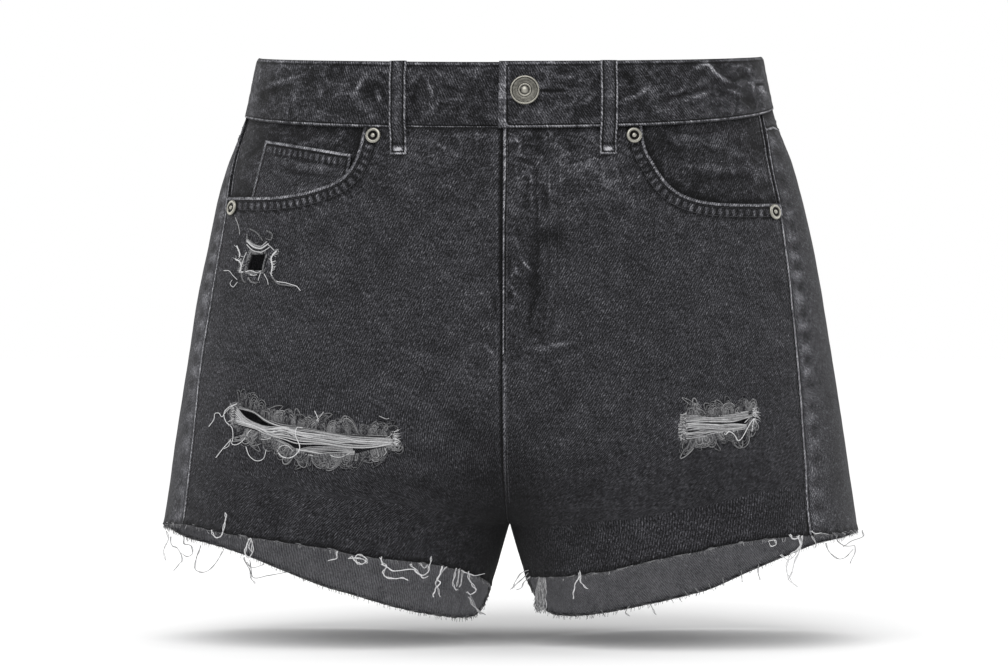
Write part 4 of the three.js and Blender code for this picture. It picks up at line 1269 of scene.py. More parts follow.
@dataclass
class Pockets:
    """The facings, the coin pocket and the back patch pockets."""

    finishes: Finishes
    arc: float = 26
    width: float = 122
    drop: float = 12
    height: float = 132
    point: float = 16
    taper: float = 7

    def facing(self, side: Side) -> bpy.types.Object:
        """Makes the facing that shows in a scoop pocket."""
        u, v = np.meshgrid(np.linspace(0, 1, 70), np.linspace(0, 1, 48))
        top_angle = blend(BODY.angle_at(68, BODY.panel_top), BODY.seam_angle(side, BODY.panel_top), u)
        z = blend(BODY.band_foot(side, top_angle) + 5 * TUCK, -106 + 10 * (1 - u), v)
        angle = blend(BODY.angle_at(68, z), BODY.seam_angle(side, z), u)
        patch = Patch(f"pocket_facing_{side.word}_cloth", side, Half.FRONT, angle, z, -(CLOTH + GAP))
        relief = patch.relief
        Panels.side_seam(patch)
        Panels.waist_edge(patch)
        d, _ = path_distance(spline(MOUTH[side]), patch.x, patch.z)
        # Painted shadow along the pocket mouth, where the front's edge lies over the facing.
        relief.line(d, 0.0, 7.0, 0.0, -0.4)
        relief.fade -= 0.17
        relief.marble(0.6)
        relief.crease(patch.x, patch.z, FACING_CREASES)
        relief.unevenness(patch.x, patch.z, 10, 0.12, 0.14, 61 + side.value)
        piece = patch.build(self.finishes)
        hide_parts(f"pocket_facing_{side.word}")
        return piece

    def coin(self) -> bpy.types.Object:
        """Makes the coin pocket on the right facing."""
        top_left, top_right, low_right, low_left = (np.array(p, float) for p in COIN)
        u, v = np.meshgrid(np.linspace(0, 1, 46), np.linspace(0, 1, 40))
        places = [
            blend(blend(top_right[k], top_left[k], u), blend(low_right[k], low_left[k], u), v) for k in (0, 1)
        ]
        angle = BODY.angle_at(places[0], places[1])
        patch = Patch("coin_pocket_cloth", Side.RIGHT, Half.FRONT, angle, places[1], -0.5)
        relief = patch.relief
        relief.edge(patch.down, patch.across, wear=0.8, pucker=0.8)
        relief.edge(patch.to_side, patch.down, wear=0.5)
        relief.edge(patch.across, patch.down, wear=0.5)
        relief.line(patch.down, 0.7, 1.4, 0.3, 0.05)
        relief.line(patch.down, 8.0, 1.2, -0.15, -0.45)
        relief.marble(0.35)
        relief.crease(patch.x, patch.z, COIN_CREASES)
        relief.unevenness(patch.x, patch.z, 7, 0.15, 0.15, 71)
        piece = patch.build(self.finishes, 0.9)
        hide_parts("coin_pocket")
        return piece

    def back_pocket(self, side: Side) -> bpy.types.Object:
        """Makes a plain patch pocket with a pointed foot and a turned top."""
        u, v = np.meshgrid(np.linspace(0, 1, 84), np.linspace(0, 1, 88))
        arcs = self.arc + self.width * u
        top_angle = np.interp(arcs, *BODY.arc_table(BODY.groove_top))
        top_z = BODY.yoke_foot(side, top_angle) - self.drop
        z = top_z - (self.height - self.point + self.point * (1 - np.abs(2 * u - 1))) * v
        narrow = self.taper * v
        arcs = self.arc + narrow + (self.width - 2 * narrow) * u
        levels = np.linspace(z.min(), z.max(), 40)
        tables = [BODY.arc_table(level) for level in levels]
        low = np.clip(np.searchsorted(levels, z) - 1, 0, len(levels) - 2)
        share = (z - levels[low]) / (levels[low + 1] - levels[low])
        angle = np.zeros(z.shape)
        for i in range(len(levels) - 1):
            here = low == i
            below, above = (np.interp(arcs[here], *tables[k]) for k in (i, i + 1))
            angle[here] = blend(below, above, share[here])
        patch = Patch(f"back_pocket_{side.word}_cloth", side, Half.BACK, angle, z, GAP + 1.3)
        relief = patch.relief
        edges = np.minimum(np.minimum(patch.across, patch.to_side), patch.to_hem)
        along = patch.across + patch.down
        relief.edge(edges, along, wear=0.8, pucker=0.4)
        relief.edge(patch.down, patch.across, wear=0.9, pucker=0.6)
        relief.line(edges, 0.7, 1.4, 0.3, 0.0)
        relief.line(patch.down, 0.8, 1.4, 0.35, 0.0)
        relief.line(patch.down, 12.0, 1.2, -0.2, -0.45)
        relief.marble(0.3)
        relief.plateau(patch.down, 12.0, 1.5, 0.35)
        relief.pucker(patch.down, (2, 12), patch.across, 6.0, 0.2, 0.15, 18.5)
        relief.crease(patch.x, patch.z, BACK_CREASES)
        relief.unevenness(patch.x, patch.z, 16, 0.3, 0.1, 81 + side.value)
        piece = patch.build(self.finishes, 1.2)
        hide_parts(f"back_pocket_{side.word}")
        return piece

    def build(self) -> list[bpy.types.Object]:
        """Makes all the pockets."""
        made = [self.coin()]
        for side in Side:
            made += [self.facing(side), self.back_pocket(side)]
        return made


class Stroke(NamedTuple):
    """A whisker on the waistband: its half width, its wear, and places across and down from the top edge."""

    width: float
    fade: float
    path: tuple[tuple[float, float], ...]


STROKES = (
    Stroke(1.3, 0.5, ((68, 23), (77, 20), (84, 15))),
    Stroke(1.1, 0.3, ((80, 3), (86, 9), (91, 14))),
    Stroke(1.1, 0.3, ((93, 16), (98, 19), (108, 15))),
    Stroke(1.5, 0.55, ((106, 7), (114, 3), (118, 3), (122, 8), (128, 12), (133, 12))),
    Stroke(1.1, 0.3, ((130, 4), (139, 5), (144, 8))),
    Stroke(1.1, 0.32, ((124, 15), (130, 18), (137, 21), (139, 25))),
    Stroke(1.3, 0.35, ((103, 24), (109, 22), (116, 20), (121, 18))),
    Stroke(3, 0.25, ((146, 16), (155, 26))),
    Stroke(1.4, 0.4, ((-147, 18), (-128, 11), (-119, 8))),
    Stroke(2.2, 0.2, ((-107, 12), (-108, 24))),
    Stroke(1.2, 0.3, ((-93, 7), (-90, 2))),
    Stroke(1.4, 0.35, ((-87, 20), (-83, 12), (-79, 7))),
    Stroke(1.2, 0.35, ((-74, 14), (-72, 21), (-68, 25))),
    Stroke(1.2, 0.35, ((-49, 4), (-44, 11), (-41, 20), (-41, 30))),
    Stroke(1.0, 0.3, ((-40, 29), (-38, 21), (-35, 15))),
    Stroke(1.0, 0.3, ((-40, 27), (-36, 23), (-24, 21))),
    Stroke(1.2, -0.3, ((126, 8), (133, 12), (140, 10), (147, 10))),
    Stroke(1.2, -0.3, ((98, 21), (108, 18))),
    Stroke(3.5, -0.25, ((68, 4), (76, 14))),
    Stroke(0.9, -0.5, ((145, 16), (151, 15))),
    Stroke(3, -0.25, ((136, 23), (147, 26))),
    Stroke(4, -0.25, ((-143, 30), (-141, 18), (-129, 19))),
    Stroke(1.5, -0.3, ((-126, 28), (-125, 33))),
    Stroke(4, -0.25, ((-83, 27), (-74, 14), (-68, 22))),
    Stroke(1.3, -0.35, ((-73, 5), (-67, 11))),
    Stroke(3, -0.25, ((-49, 10), (-52, 21), (-50, 32))),
    Stroke(2.5, -0.2, ((-36, 13), (-24, 17))),
    Stroke(2, -0.3, ((-19, 29), (-18, 32))),
    Stroke(1.2, 0.3, ((24, 6), (34, 9), (46, 8))),
    Stroke(1.4, 0.25, ((40, 26), (50, 22), (54, 16))),
)


@dataclass
class Waistband:
    """The folded band that laps over itself at the fly, with its buttonhole."""

    finishes: Finishes
    thickness: float = 2.6
    over_x: float = 2.7
    under_x: float = 42
    over: float = 1.3
    under: float = -2.4
    lift: float = 0.9
    stations: int = 620
    face_steps: int = 26
    slit_from: float = 21
    slit_to: float = 35
    slit_drop: float = 16.7

    def place(self, t: np.ndarray, share: np.ndarray, lift: np.ndarray) -> np.ndarray:
        """Points of the band at shares of its length and height."""
        front = -math.pi / 2
        level = -BODY.band_centre / 2
        under, over = (2 * front - BODY.angle_at(x, level) for x in (self.under_x, self.over_x))
        first = t < 0.5
        angle = np.where(first, blend(under, math.pi / 2, t * 2), blend(math.pi / 2, over, t * 2 - 1))
        past = angle < front
        around = np.where(past, 2 * front - angle, angle)
        on_right = first ^ past
        total = np.zeros(np.broadcast(t, share).shape + (3,))
        for side in Side:
            mask = on_right if side is Side.RIGHT else ~on_right
            z = blend(BODY.band_foot(side, around), BODY.top(around), share)
            points = BODY.skin(side, around, z, lift)
            points[..., 0] -= side.value * GAP / 2
            total[mask] = points[mask]
        return total

    def standing(self, t: np.ndarray) -> np.ndarray:
        """How far the band's face stands off the body, less behind the fly and more over it."""
        under = self.under * bump(np.clip(t / 0.12, 0, 1))
        over = self.over * bump(np.clip((1 - t) / 0.14, 0, 1))
        return self.lift + under + over

    def build(self) -> bpy.types.Object:
        """Makes the band as one closed strip round its own section."""
        steps = self.face_steps
        t = np.linspace(0, 1, self.stations)[:, None]
        share = np.concatenate([np.linspace(0, 1, steps), [1.0, 1.0], np.linspace(1, 0, 9), [0.0]])[None, :]
        depth = np.concatenate([np.zeros(steps), [0.35, 0.65], np.full(9, 1.0), [0.5]])[None, :]
        depth = depth * self.thickness
        edge = np.concatenate([np.zeros(steps), [0.7, 0.7], np.zeros(9), [-0.4]])[None, :]
        rows, columns = len(t), share.shape[1]
        t = np.broadcast_to(t, (rows, columns)).copy()
        share = np.broadcast_to(share, (rows, columns)).copy()
        outer = np.zeros((rows, columns), bool)
        outer[:, :steps] = True
        mid = self.place(t[:, :1], np.full((rows, 1), 0.5), np.zeros((rows, 1)))
        length = run_lengths(mid[:, 0])
        arc = np.broadcast_to(length[:, None], (rows, columns))
        height = share * BODY.band_centre
        relief = Relief((rows, columns))
        to_end = length[-1] - arc
        from_top = BODY.band_centre - height
        relief.edge(height, arc, 6, wear=0.8)
        relief.edge(np.maximum(from_top - 0.3, 0) + 0.5, arc, 9, wear=0.4)
        relief.line(from_top, 0.0, 1.8, -0.4, 0.05)
        relief.line(height, 0.6, 1.4, 0.1, 0.0)
        relief.edge(np.maximum(to_end - 3.0, 0), height, 8, wear=0.7)
        relief.line(to_end, 1.6, 3.2, 0.3, -0.1)
        relief.marble(0.65)
        relief.fade -= 0.04
        plain = self.place(t, share, np.zeros((rows, columns)))
        drop = self.place(t, np.ones((rows, columns)), np.zeros((rows, columns)))[..., 2] - plain[..., 2]
        front = plain[..., 1] < 0
        x = np.where(front, plain[..., 0], -plain[..., 0])
        for row in STROKES:
            path = spline(row.path, 4)
            d, along = path_distance(path, x, drop)
            span = float(np.linalg.norm(np.diff(path, axis=0), axis=1).sum())
            hump = bump(d / row.width) - 0.35 * bump((d - 2.6 * row.width) / (1.9 * row.width))
            hump *= bump((along / span - 0.5) / 0.62)
            relief.lift += 1.5 * row.fade * hump
            relief.fade += 1.9 * row.fade * hump
        # The buttonhole: its slit is painted dark, as the shade in its opening, inside a lighter, raised rim.
        slit = np.array([[self.slit_from, self.slit_drop], [self.slit_to, self.slit_drop]])
        d, _ = path_distance(slit, x, drop)
        near_end = front & (t > 0.5)
        relief.fade += np.where(near_end, 0.35 * bump((d - 2.2) / 1.4) - 0.6 * bump(d / 1.0), 0)
        relief.lift += np.where(near_end, 0.2 * bump((d - 2.2) / 1.4) - 0.4 * bump(d / 1.0), 0)
        relief.unevenness(arc, height, 15, 0.5, 0.12, 105)
        relief.unevenness(arc, height * 1.6, 6, 0.2, 0.12, 107)
        lift = self.standing(t) - depth + np.where(outer, relief.lift, 0)
        points = self.place(t, share, lift)
        points[..., 2] += edge
        fade = np.where(outer, relief.fade, relief.fade * 0.2 + 0.1)
        index = np.arange(rows * columns).reshape(rows, columns)
        ring = np.roll(index, -1, axis=1)
        quads = np.stack([index[:-1], ring[:-1], ring[1:], index[1:]], axis=-1).reshape(-1, 4)
        faces = quads.tolist() + [index[0][::-1].tolist(), index[-1].tolist()]
        flat = points.reshape(-1, 3)
        middle = quads[(rows // 2) * columns + steps // 2]
        facing = np.cross(flat[middle[1]] - flat[middle[0]], flat[middle[2]] - flat[middle[0]])
        if facing[1] < 0:
            faces = [face[::-1] for face in faces]
        cut = np.stack([arc, height], axis=-1).reshape(-1, 2)
        seam = np.where(outer[..., None], relief.seam, 0.0).reshape(-1, 6)
        piece = mesh_object("waistband_cloth", flat, faces, fade.ravel(), cut, seam)
        piece.data.materials.append(self.finishes.face)
        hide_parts("waistband")
        return piece


class StrapPoint(NamedTuple):
    """How far a belt loop's face stands off the body, at a distance down from the band's top."""

    down: float
    lift: float


STRAP = (
    StrapPoint(-0.4, 3.9),
    StrapPoint(3, 3.9),
    StrapPoint(9, 5.3),
    StrapPoint(24, 5.8),
    StrapPoint(35, 4.8),
    StrapPoint(42, 3),
    StrapPoint(48, 2.2),
    StrapPoint(54, 2.2),
)


@dataclass
class BeltLoops:
    """The five straps over the waistband."""

    finishes: Finishes
    width: float = 10
    thickness: float = 1.5
    height: float = 54
    front_x: float = 60.5
    back_arc: float = 92

    def strap(self, name: str, side: Side, angle_at: Callable, seed: int) -> bpy.types.Object:
        """Makes one strap with worn edges, a turned foot and bar tacks.

        Args:
            name: The CAD node that it stands for.
            side: The side that it is on.
            angle_at: Gives the angle of its middle line at a height.
            seed: Sets the unevenness.

        Returns:
            The piece.
        """
        rows, across = 76, 15
        share = np.linspace(-0.5, 0.5, across)
        down = np.linspace(-0.4, self.height, rows)[:, None]
        middle = float(angle_at(-BODY.band_centre))
        top = float(BODY.top(np.array(middle)))
        angle = np.array([[float(angle_at(z))] for z in top - down[:, 0]])
        normal = BODY.normal(side, np.array(middle), np.array(top - self.height / 2))
        along = np.cross(normal, UP)
        along /= np.linalg.norm(along)
        lift = read(STRAP, "down", "lift", down)
        edge = np.minimum(down + 0.4, self.height - down)
        relief = Relief((rows, across))
        wide = np.broadcast_to(share[None, :] * self.width, (rows, across))
        far = np.broadcast_to(down, (rows, across))
        relief.edge(np.minimum(5 - np.abs(wide), self.height - far), far, 6.5, wear=0.8)
        relief.line(np.abs(wide), 0.0, 3.2, 0.1, 0.2)
        tack = bump(wide / 4.4) * bump((self.height - far - 2.9) / 2.2)
        relief.lift += 0.35 * tack
        relief.fade += 1.5 * tack
        relief.line(self.height - far, 6.2, 1.3, -0.3, -0.6)
        relief.line(far, 1.5, 1.6, 0.15, 0.1)
        relief.marble(0.25)
        relief.unevenness(wide, far, 4, 0.12, 0.1, 111 + seed)
        wobble = 0.35 * wander(far[:, :1], 0 * far[:, :1], 14, 121 + seed)
        grids = []
        for inner in (False, True):
            rim = np.where(np.abs(share)[None, :] > 0.46, 0.45, 0.0) * (-1 if not inner else 1)
            away = lift + (-self.thickness if inner else relief.lift) + rim
            around = np.broadcast_to(angle, (rows, across))
            centre = BODY.skin(side, around, np.full((rows, across), top) - far, away)
            grids.append(centre + along * (wide[..., None] + wobble[..., None]))
        points = np.concatenate([grids[0], grids[1][:, ::-1]], axis=1)
        fade = np.concatenate([relief.fade, np.zeros((rows, across))], axis=1)
        columns = points.shape[1]
        index = np.arange(rows * columns).reshape(rows, columns)
        ring = np.roll(index, -1, axis=1)
        quads = np.stack([index[:-1], index[1:], ring[1:], ring[:-1]], axis=-1).reshape(-1, 4)
        faces = quads.tolist() + [index[0].tolist(), index[-1][::-1].tolist()]
        flat = points.reshape(-1, 3)
        probe = quads[(rows // 2) * columns + across // 2]
        if np.dot(np.cross(flat[probe[1]] - flat[probe[0]], flat[probe[2]] - flat[probe[0]]), normal) < 0:
            faces = [face[::-1] for face in faces]
        cut = np.stack([np.concatenate([wide, -wide], axis=1), -np.concatenate([far, far], axis=1)], axis=-1)
        seam = np.concatenate([relief.seam, 0 * relief.seam], axis=1).reshape(-1, 6)
        piece = mesh_object(f"{name}_cloth", flat, faces, fade.ravel(), cut.reshape(-1, 2), seam)
        piece.data.materials.append(self.finishes.face)
        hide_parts(name)
        return piece

    def build(self) -> list[bpy.types.Object]:
        """Makes the five straps."""
        made = []

        def front(z: float) -> float:
            """The angle of a front strap at a height."""
            return BODY.angle_at(self.front_x, z)

        def back(z: float) -> float:
            """The angle of a back strap at a height."""
            return BODY.angle_at_arc(z, self.back_arc)

        for side in Side:
            made.append(self.strap(f"loop_front_{side.word}", side, front, side.value))
            made.append(self.strap(f"loop_back_{side.word}", side, back, 4 + side.value))
        made.append(self.strap("loop_back_centre", Side.LEFT, lambda z: math.pi / 2, 8))
        return made


@dataclass
class Hardware:
    """The tack button and the four rivets, turned on a lathe and set on the cloth."""

    finishes: Finishes
    button_x: float = 12.5
    button_drop: float = 16.7
    button_radius: float = 8.5
    rivet_radius: float = 4.6
    rivets: dict[str, tuple[float, float]] = field(
        default_factory=lambda: {
            "rivet_right_upper": (-75.3, -48),
            "rivet_right_lower": (-161, -88.6),
            "rivet_left_upper": (75.3, -48.2),
            "rivet_left_lower": (156.6, -91.6),
        }
    )

    def turned(
        self, name: str, profile: Sequence[tuple[float, float, float]], steps: int
    ) -> bpy.types.Object:
        """Spins a profile round the Z axis.

        Args:
            name: The piece's name.
            profile: Radius, height and wear of each point, from the axis to the axis.
            steps: The number of steps round.

        Returns:
            The turned piece, with its "fade" attribute.
        """
        bpy.ops.object.select_all(action="DESELECT")
        bpy.ops.mesh.primitive_circle_add(vertices=3, radius=MM, fill_type="NOTHING")
        piece = bpy.context.object
        piece.name = piece.data.name = name
        mesh = piece.data
        mesh.clear_geometry()
        edges = [(i, i + 1) for i in range(len(profile) - 1)]
        mesh.from_pydata([(r * MM, 0, h * MM) for r, h, _ in profile], edges, [])
        layer = mesh.attributes.new("fade", "FLOAT", "POINT")
        layer.data.foreach_set("value", [w for _, _, w in profile])
        bpy.ops.object.mode_set(mode="EDIT")
        bpy.ops.mesh.select_all(action="SELECT")
        bpy.ops.mesh.spin(steps=steps, angle=TAU, center=(0, 0, 0), axis=(0, 0, 1))
        bpy.ops.mesh.select_all(action="SELECT")
        bpy.ops.mesh.remove_doubles(threshold=0.01 * MM)
        bpy.ops.mesh.normals_make_consistent(inside=False)
        bpy.ops.object.mode_set(mode="OBJECT")
        bpy.ops.object.shade_smooth_by_angle(angle=math.radians(50))
        piece.data.materials.append(self.finishes.metal)
        return piece

    @staticmethod
    def seat(piece: bpy.types.Object, point: np.ndarray, normal: np.ndarray) -> None:
        """Turns a piece's axis to a normal and bakes its place into its mesh."""
        turn = Vector((0, 0, 1)).rotation_difference(Vector(normal)).to_matrix().to_4x4()
        turn.translation = Vector((point * MM).tolist())
        piece.data.transform(turn)
        piece.data.update()

    def button(self) -> bpy.types.Object:
        """Makes the tack button, bare inside plain rings."""
        r = self.button_radius
        profile = [
            (0, 0, -0.6), (2.1, 0, -0.6), (2.1, 3.5, -0.8), (r * 0.84, 3.6, -0.8), (r * 0.97, 4.1, 0.1),
            (r, 4.6, 0.5), (r, 5.4, 0.6), (r * 0.975, 5.95, 0.9), (r * 0.93, 6.15, 0.9),
            (r * 0.89, 6.05, 0.3), (r * 0.86, 5.8, -0.9), (r * 0.8, 5.82, -0.1), (r * 0.66, 5.78, -0.35),
            (r * 0.52, 5.75, 0.0), (r * 0.47, 5.7, -0.8), (r * 0.44, 6.0, 0.5), (r * 0.4, 6.12, 0.7),
            (r * 0.35, 5.95, 0.1), (r * 0.3, 5.7, -0.8), (r * 0.25, 5.75, -0.3), (r * 0.2, 6.1, 0.5),
            (r * 0.1, 6.32, 0.9), (0, 6.38, 0.9),
        ]
        piece = self.turned("button_metal", profile, 64)
        z = np.array(float(BODY.top(np.array(-math.pi / 2))) - self.button_drop)
        angle = BODY.angle_at(self.button_x, z)
        self.seat(piece, BODY.skin(Side.LEFT, angle, z, -1.0), BODY.normal(Side.LEFT, angle, z))
        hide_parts("button")
        return piece

    def build(self) -> list[bpy.types.Object]:
        """Makes the button and the rivets."""
        made = [self.button()]
        r = self.rivet_radius
        profile = [
            (0, 0, -0.5), (r, 0, -0.5), (r, 0.5, 0.2), (r * 0.97, 0.95, 0.7), (r * 0.88, 1.3, 0.9),
            (r * 0.74, 1.42, 0.8), (r * 0.62, 1.25, 0.1), (r * 0.55, 0.7, -1.2), (r * 0.36, 0.6, -1.4),
            (r * 0.31, 0.9, -0.8), (r * 0.26, 1.3, 0.9), (r * 0.14, 1.6, 1.5), (0, 1.68, 1.5),
        ]
        for name, (x, z) in self.rivets.items():
            side = Side.LEFT if x > 0 else Side.RIGHT
            piece = self.turned(f"{name}_metal", profile, 40)
            angle = BODY.angle_at(x, z)
            point = BODY.skin(side, angle, np.array(z), 0.9) + np.array([0, -GAP / 2, 0])
            self.seat(piece, point, BODY.normal(side, angle, np.array(z)))
            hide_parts(name)
            made.append(piece)
        return made


@dataclass
class Strands:
    """Many fine strands joined into one piece."""

    name: str
    points: list[np.ndarray] = field(default_factory=list)
    faces: list[list[int]] = field(default_factory=list)
    fade: list[np.ndarray] = field(default_factory=list)
    count: int = 0

    def add(self, path: np.ndarray, radius: float, shade: float, sides: int = 4, taper: float = 0.6) -> None:
        """Adds one strand along a path.

        Args:
            path: The strand's points, in millimetres.
            radius: Its radius at the root.
            shade: How light its yarn is, from 0 to 1.
            sides: The number of its sides.
            taper: Its radius at the tip, as a share.
        """
        n = len(path)
        tangent = np.gradient(path, axis=0)
        tangent /= np.maximum(np.linalg.norm(tangent, axis=1, keepdims=True), 1e-9)
        first = np.cross(tangent[0], [0.31, 0.87, 0.38])
        frames = []
        for i in range(n):
            first = first - np.dot(first, tangent[i]) * tangent[i]
            first /= max(np.linalg.norm(first), 1e-9)
            frames.append((first, np.cross(tangent[i], first)))
        turns = np.arange(sides) * TAU / sides
        rings = [
            path[i] + radius * blend(1, taper, i / (n - 1)) * (
                np.cos(turns)[:, None] * frames[i][0] + np.sin(turns)[:, None] * frames[i][1]
            )
            for i in range(n)
        ]
        base = self.count
        self.points.append(np.concatenate(rings))
        for i in range(n - 1):
            for k in range(sides):
                a, b = base + i * sides + k, base + i * sides + (k + 1) % sides
                self.faces.append([a, b, b + sides, a + sides])
        self.faces.append([base + k for k in range(sides)][::-1])
        self.faces.append([base + (n - 1) * sides + k for k in range(sides)])
        self.fade.append(np.full(n * sides, shade))
        self.count += n * sides

    def build(self, material: bpy.types.Material) -> bpy.types.Object:
        """Joins the strands into one piece."""
        piece = mesh_object(self.name, np.concatenate(self.points), self.faces, np.concatenate(self.fade))
        piece.data.materials.append(material)
        return piece


class Feeler:
    """Finds the dressed cloth's surface, so that stitches and yarn lie on it."""

    above = 9
    below = 2

    def __init__(self, pieces: Sequence[bpy.types.Object]) -> None:
        """Takes the pieces that can be felt."""
        points, faces = [], []
        for piece in pieces:
            start = len(points)
            points += [v.co.copy() for v in piece.data.vertices]
            faces += [[start + i for i in p.vertices] for p in piece.data.polygons]
        self.tree = BVHTree.FromPolygons(points, faces)

    def at(self, side: Side, angle: float, z: float, lift: float) -> tuple[np.ndarray, np.ndarray]:
        """The point that lies lift above the cloth, or above the form off the cloth, with its normal."""
        around, height = np.array(angle), np.array(float(z))
        normal = BODY.normal(side, around, height)
        plain = BODY.skin(side, around, height, 0.0)
        start = Vector(((plain + normal * self.above) * MM).tolist())
        hit = self.tree.ray_cast(start, Vector((-normal).tolist()), (self.above + self.below) * MM)
        found = np.array(hit[0]) / MM if hit[0] is not None else plain
        return found + normal * lift, normal

    def front(self, x: float, z: float, lift: float) -> tuple[np.ndarray, np.ndarray]:
        """The same at a place in front view."""
        side = Side.LEFT if x > 0 else Side.RIGHT
        return self.at(side, float(BODY.angle_at(x, z)), z, lift)


@dataclass
class Sewing:
    """The rows of tonal stitches."""

    finishes: Finishes
    feeler: Feeler
    length: float = 2.7
    pitch: float = 3.4
    radius: float = 0.26
    side_row: float = 3.6
    degrees_each: float = 0.42

    def row(self, strands: Strands, places: np.ndarray, sample: Callable, shade: float) -> None:
        """Sews one row.

        Args:
            strands: What the stitches are added to.
            places: The row's path in the sampler's own coordinates.
            sample: Gives the point and normal on the cloth for such coordinates and a lift.
            shade: How light the thread is.
        """
        marks = [sample(a, b, 0.0)[0] for a, b in places]
        runs = run_lengths(marks)
        for start in np.arange(1.2, runs[-1] - self.length, self.pitch):
            path = []
            for t, lift in ((0, -0.12), (0.2, 0.16), (0.5, 0.24), (0.8, 0.16), (1, -0.12)):
                run = start + t * self.length
                a, b = (np.interp(run, runs, places[:, k]) for k in (0, 1))
                path.append(sample(a, b, lift)[0])
            strands.add(np.array(path), self.radius, shade, 4, 1.0)

    def on(self, side: Side) -> Callable:
        """Gives a sampler of the cloth on one side, by angle, height and lift."""
        return lambda angle, z, lift: self.feeler.at(side, angle, z, lift)

    def build(self) -> list[bpy.types.Object]:
        """Sews the front and the back."""
        feel = self.feeler
        made = []
        front = Strands("front_stitches")
        for side in Side:
            mouth = spline(MOUTH[side])[8:]
            for offset, shade in ((2.6, 0.1), (7.6, 0.2)):
                shifted = offset_path(mouth, offset) * [side.value, 1]
                keep = np.abs(shifted[:, 0]) < 160
                self.row(front, shifted[keep], feel.front, shade)
            turn = math.radians(self.side_row * self.degrees_each)
            rows = np.array([[BODY.seam_angle(side, z) - turn, z] for z in np.linspace(-52, -268, 90)])
            self.row(front, rows, self.on(side), 0.25)
        fly = spline(FLY_STITCH)
        for offset in (0.0, 6.0):
            path = offset_path(fly, -offset)
            self.row(front, path[(path[:, 0] > 1) & (path[:, 1] < -50)], feel.front, 0.15)
        line = np.array([[2.6, z] for z in np.linspace(-50, -262, 60)])
        self.row(front, line, feel.front, 0.35)
        made.append(front.build(self.finishes.thread))
        back = Strands("back_stitches")
        for side in Side:
            reach = np.linspace(86, -6, 60)
            for offset in (2.4, 7.4):
                angles = [math.radians(a) for a in reach]
                rows = np.array([[a, float(BODY.yoke_foot(side, np.array(a))) + offset] for a in angles])
                self.row(back, rows, self.on(side), 0.3)
            self.row(back, self.pocket_path(side), self.on(side), 0.3)
            down = np.linspace(-100, -262, 60)
            for arc in (2.6, 7.2):
                rows = np.array([[BODY.angle_at_arc(z, arc), z] for z in down])
                self.row(back, rows, self.on(side), 0.3)
        made.append(back.build(self.finishes.thread))
        return made

    @staticmethod
    def pocket_path(side: Side, inset: float = 2.6) -> np.ndarray:
        """The stitched outline of a back pocket, as angles and heights."""
        pockets = Pockets.__dataclass_fields__
        arc, width, height = (pockets[k].default for k in ("arc", "width", "height"))
        drop, point, taper = (pockets[k].default for k in ("drop", "point", "taper"))
        far = width - inset
        corners = [(inset, 0.03), (inset, 0.985), (width / 2, 1.0), (far, 0.985), (far, 0.03)]
        made = []
        for (u0, v0), (u1, v1) in zip(corners[:-1], corners[1:]):
            for t in np.linspace(0, 1, 26):
                u, v = blend(u0, u1, t) / width, blend(v0, v1, t)
                top_angle = BODY.angle_at_arc(BODY.groove_top, arc + width * u)
                top = BODY.yoke_foot(side, np.array(top_angle)) - drop
                foot = point * (1 - abs(2 * u - 1))
                z = float(top) - (height - point + foot) * v + (inset if v > 0.98 else 0)
                narrow = taper * v
                made.append((BODY.angle_at_arc(z, arc + narrow + (width - 2 * narrow) * u), z))
        return np.array(made)


def offset_path(path: np.ndarray, by: float) -> np.ndarray:
    """A path moved sideways in the plane."""
    tangent = np.gradient(path, axis=0)
    tangent /= np.maximum(np.linalg.norm(tangent, axis=1, keepdims=True), 1e-9)
    return path + np.stack([tangent[:, 1], -tangent[:, 0]], axis=1) * by


class Thread(NamedTuple):
    """A long loose thread: its half width, shade, path in front view, and the short fibres along it."""

    width: float
    shade: float
    path: tuple[tuple[float, float], ...]
    fibres: int = 0


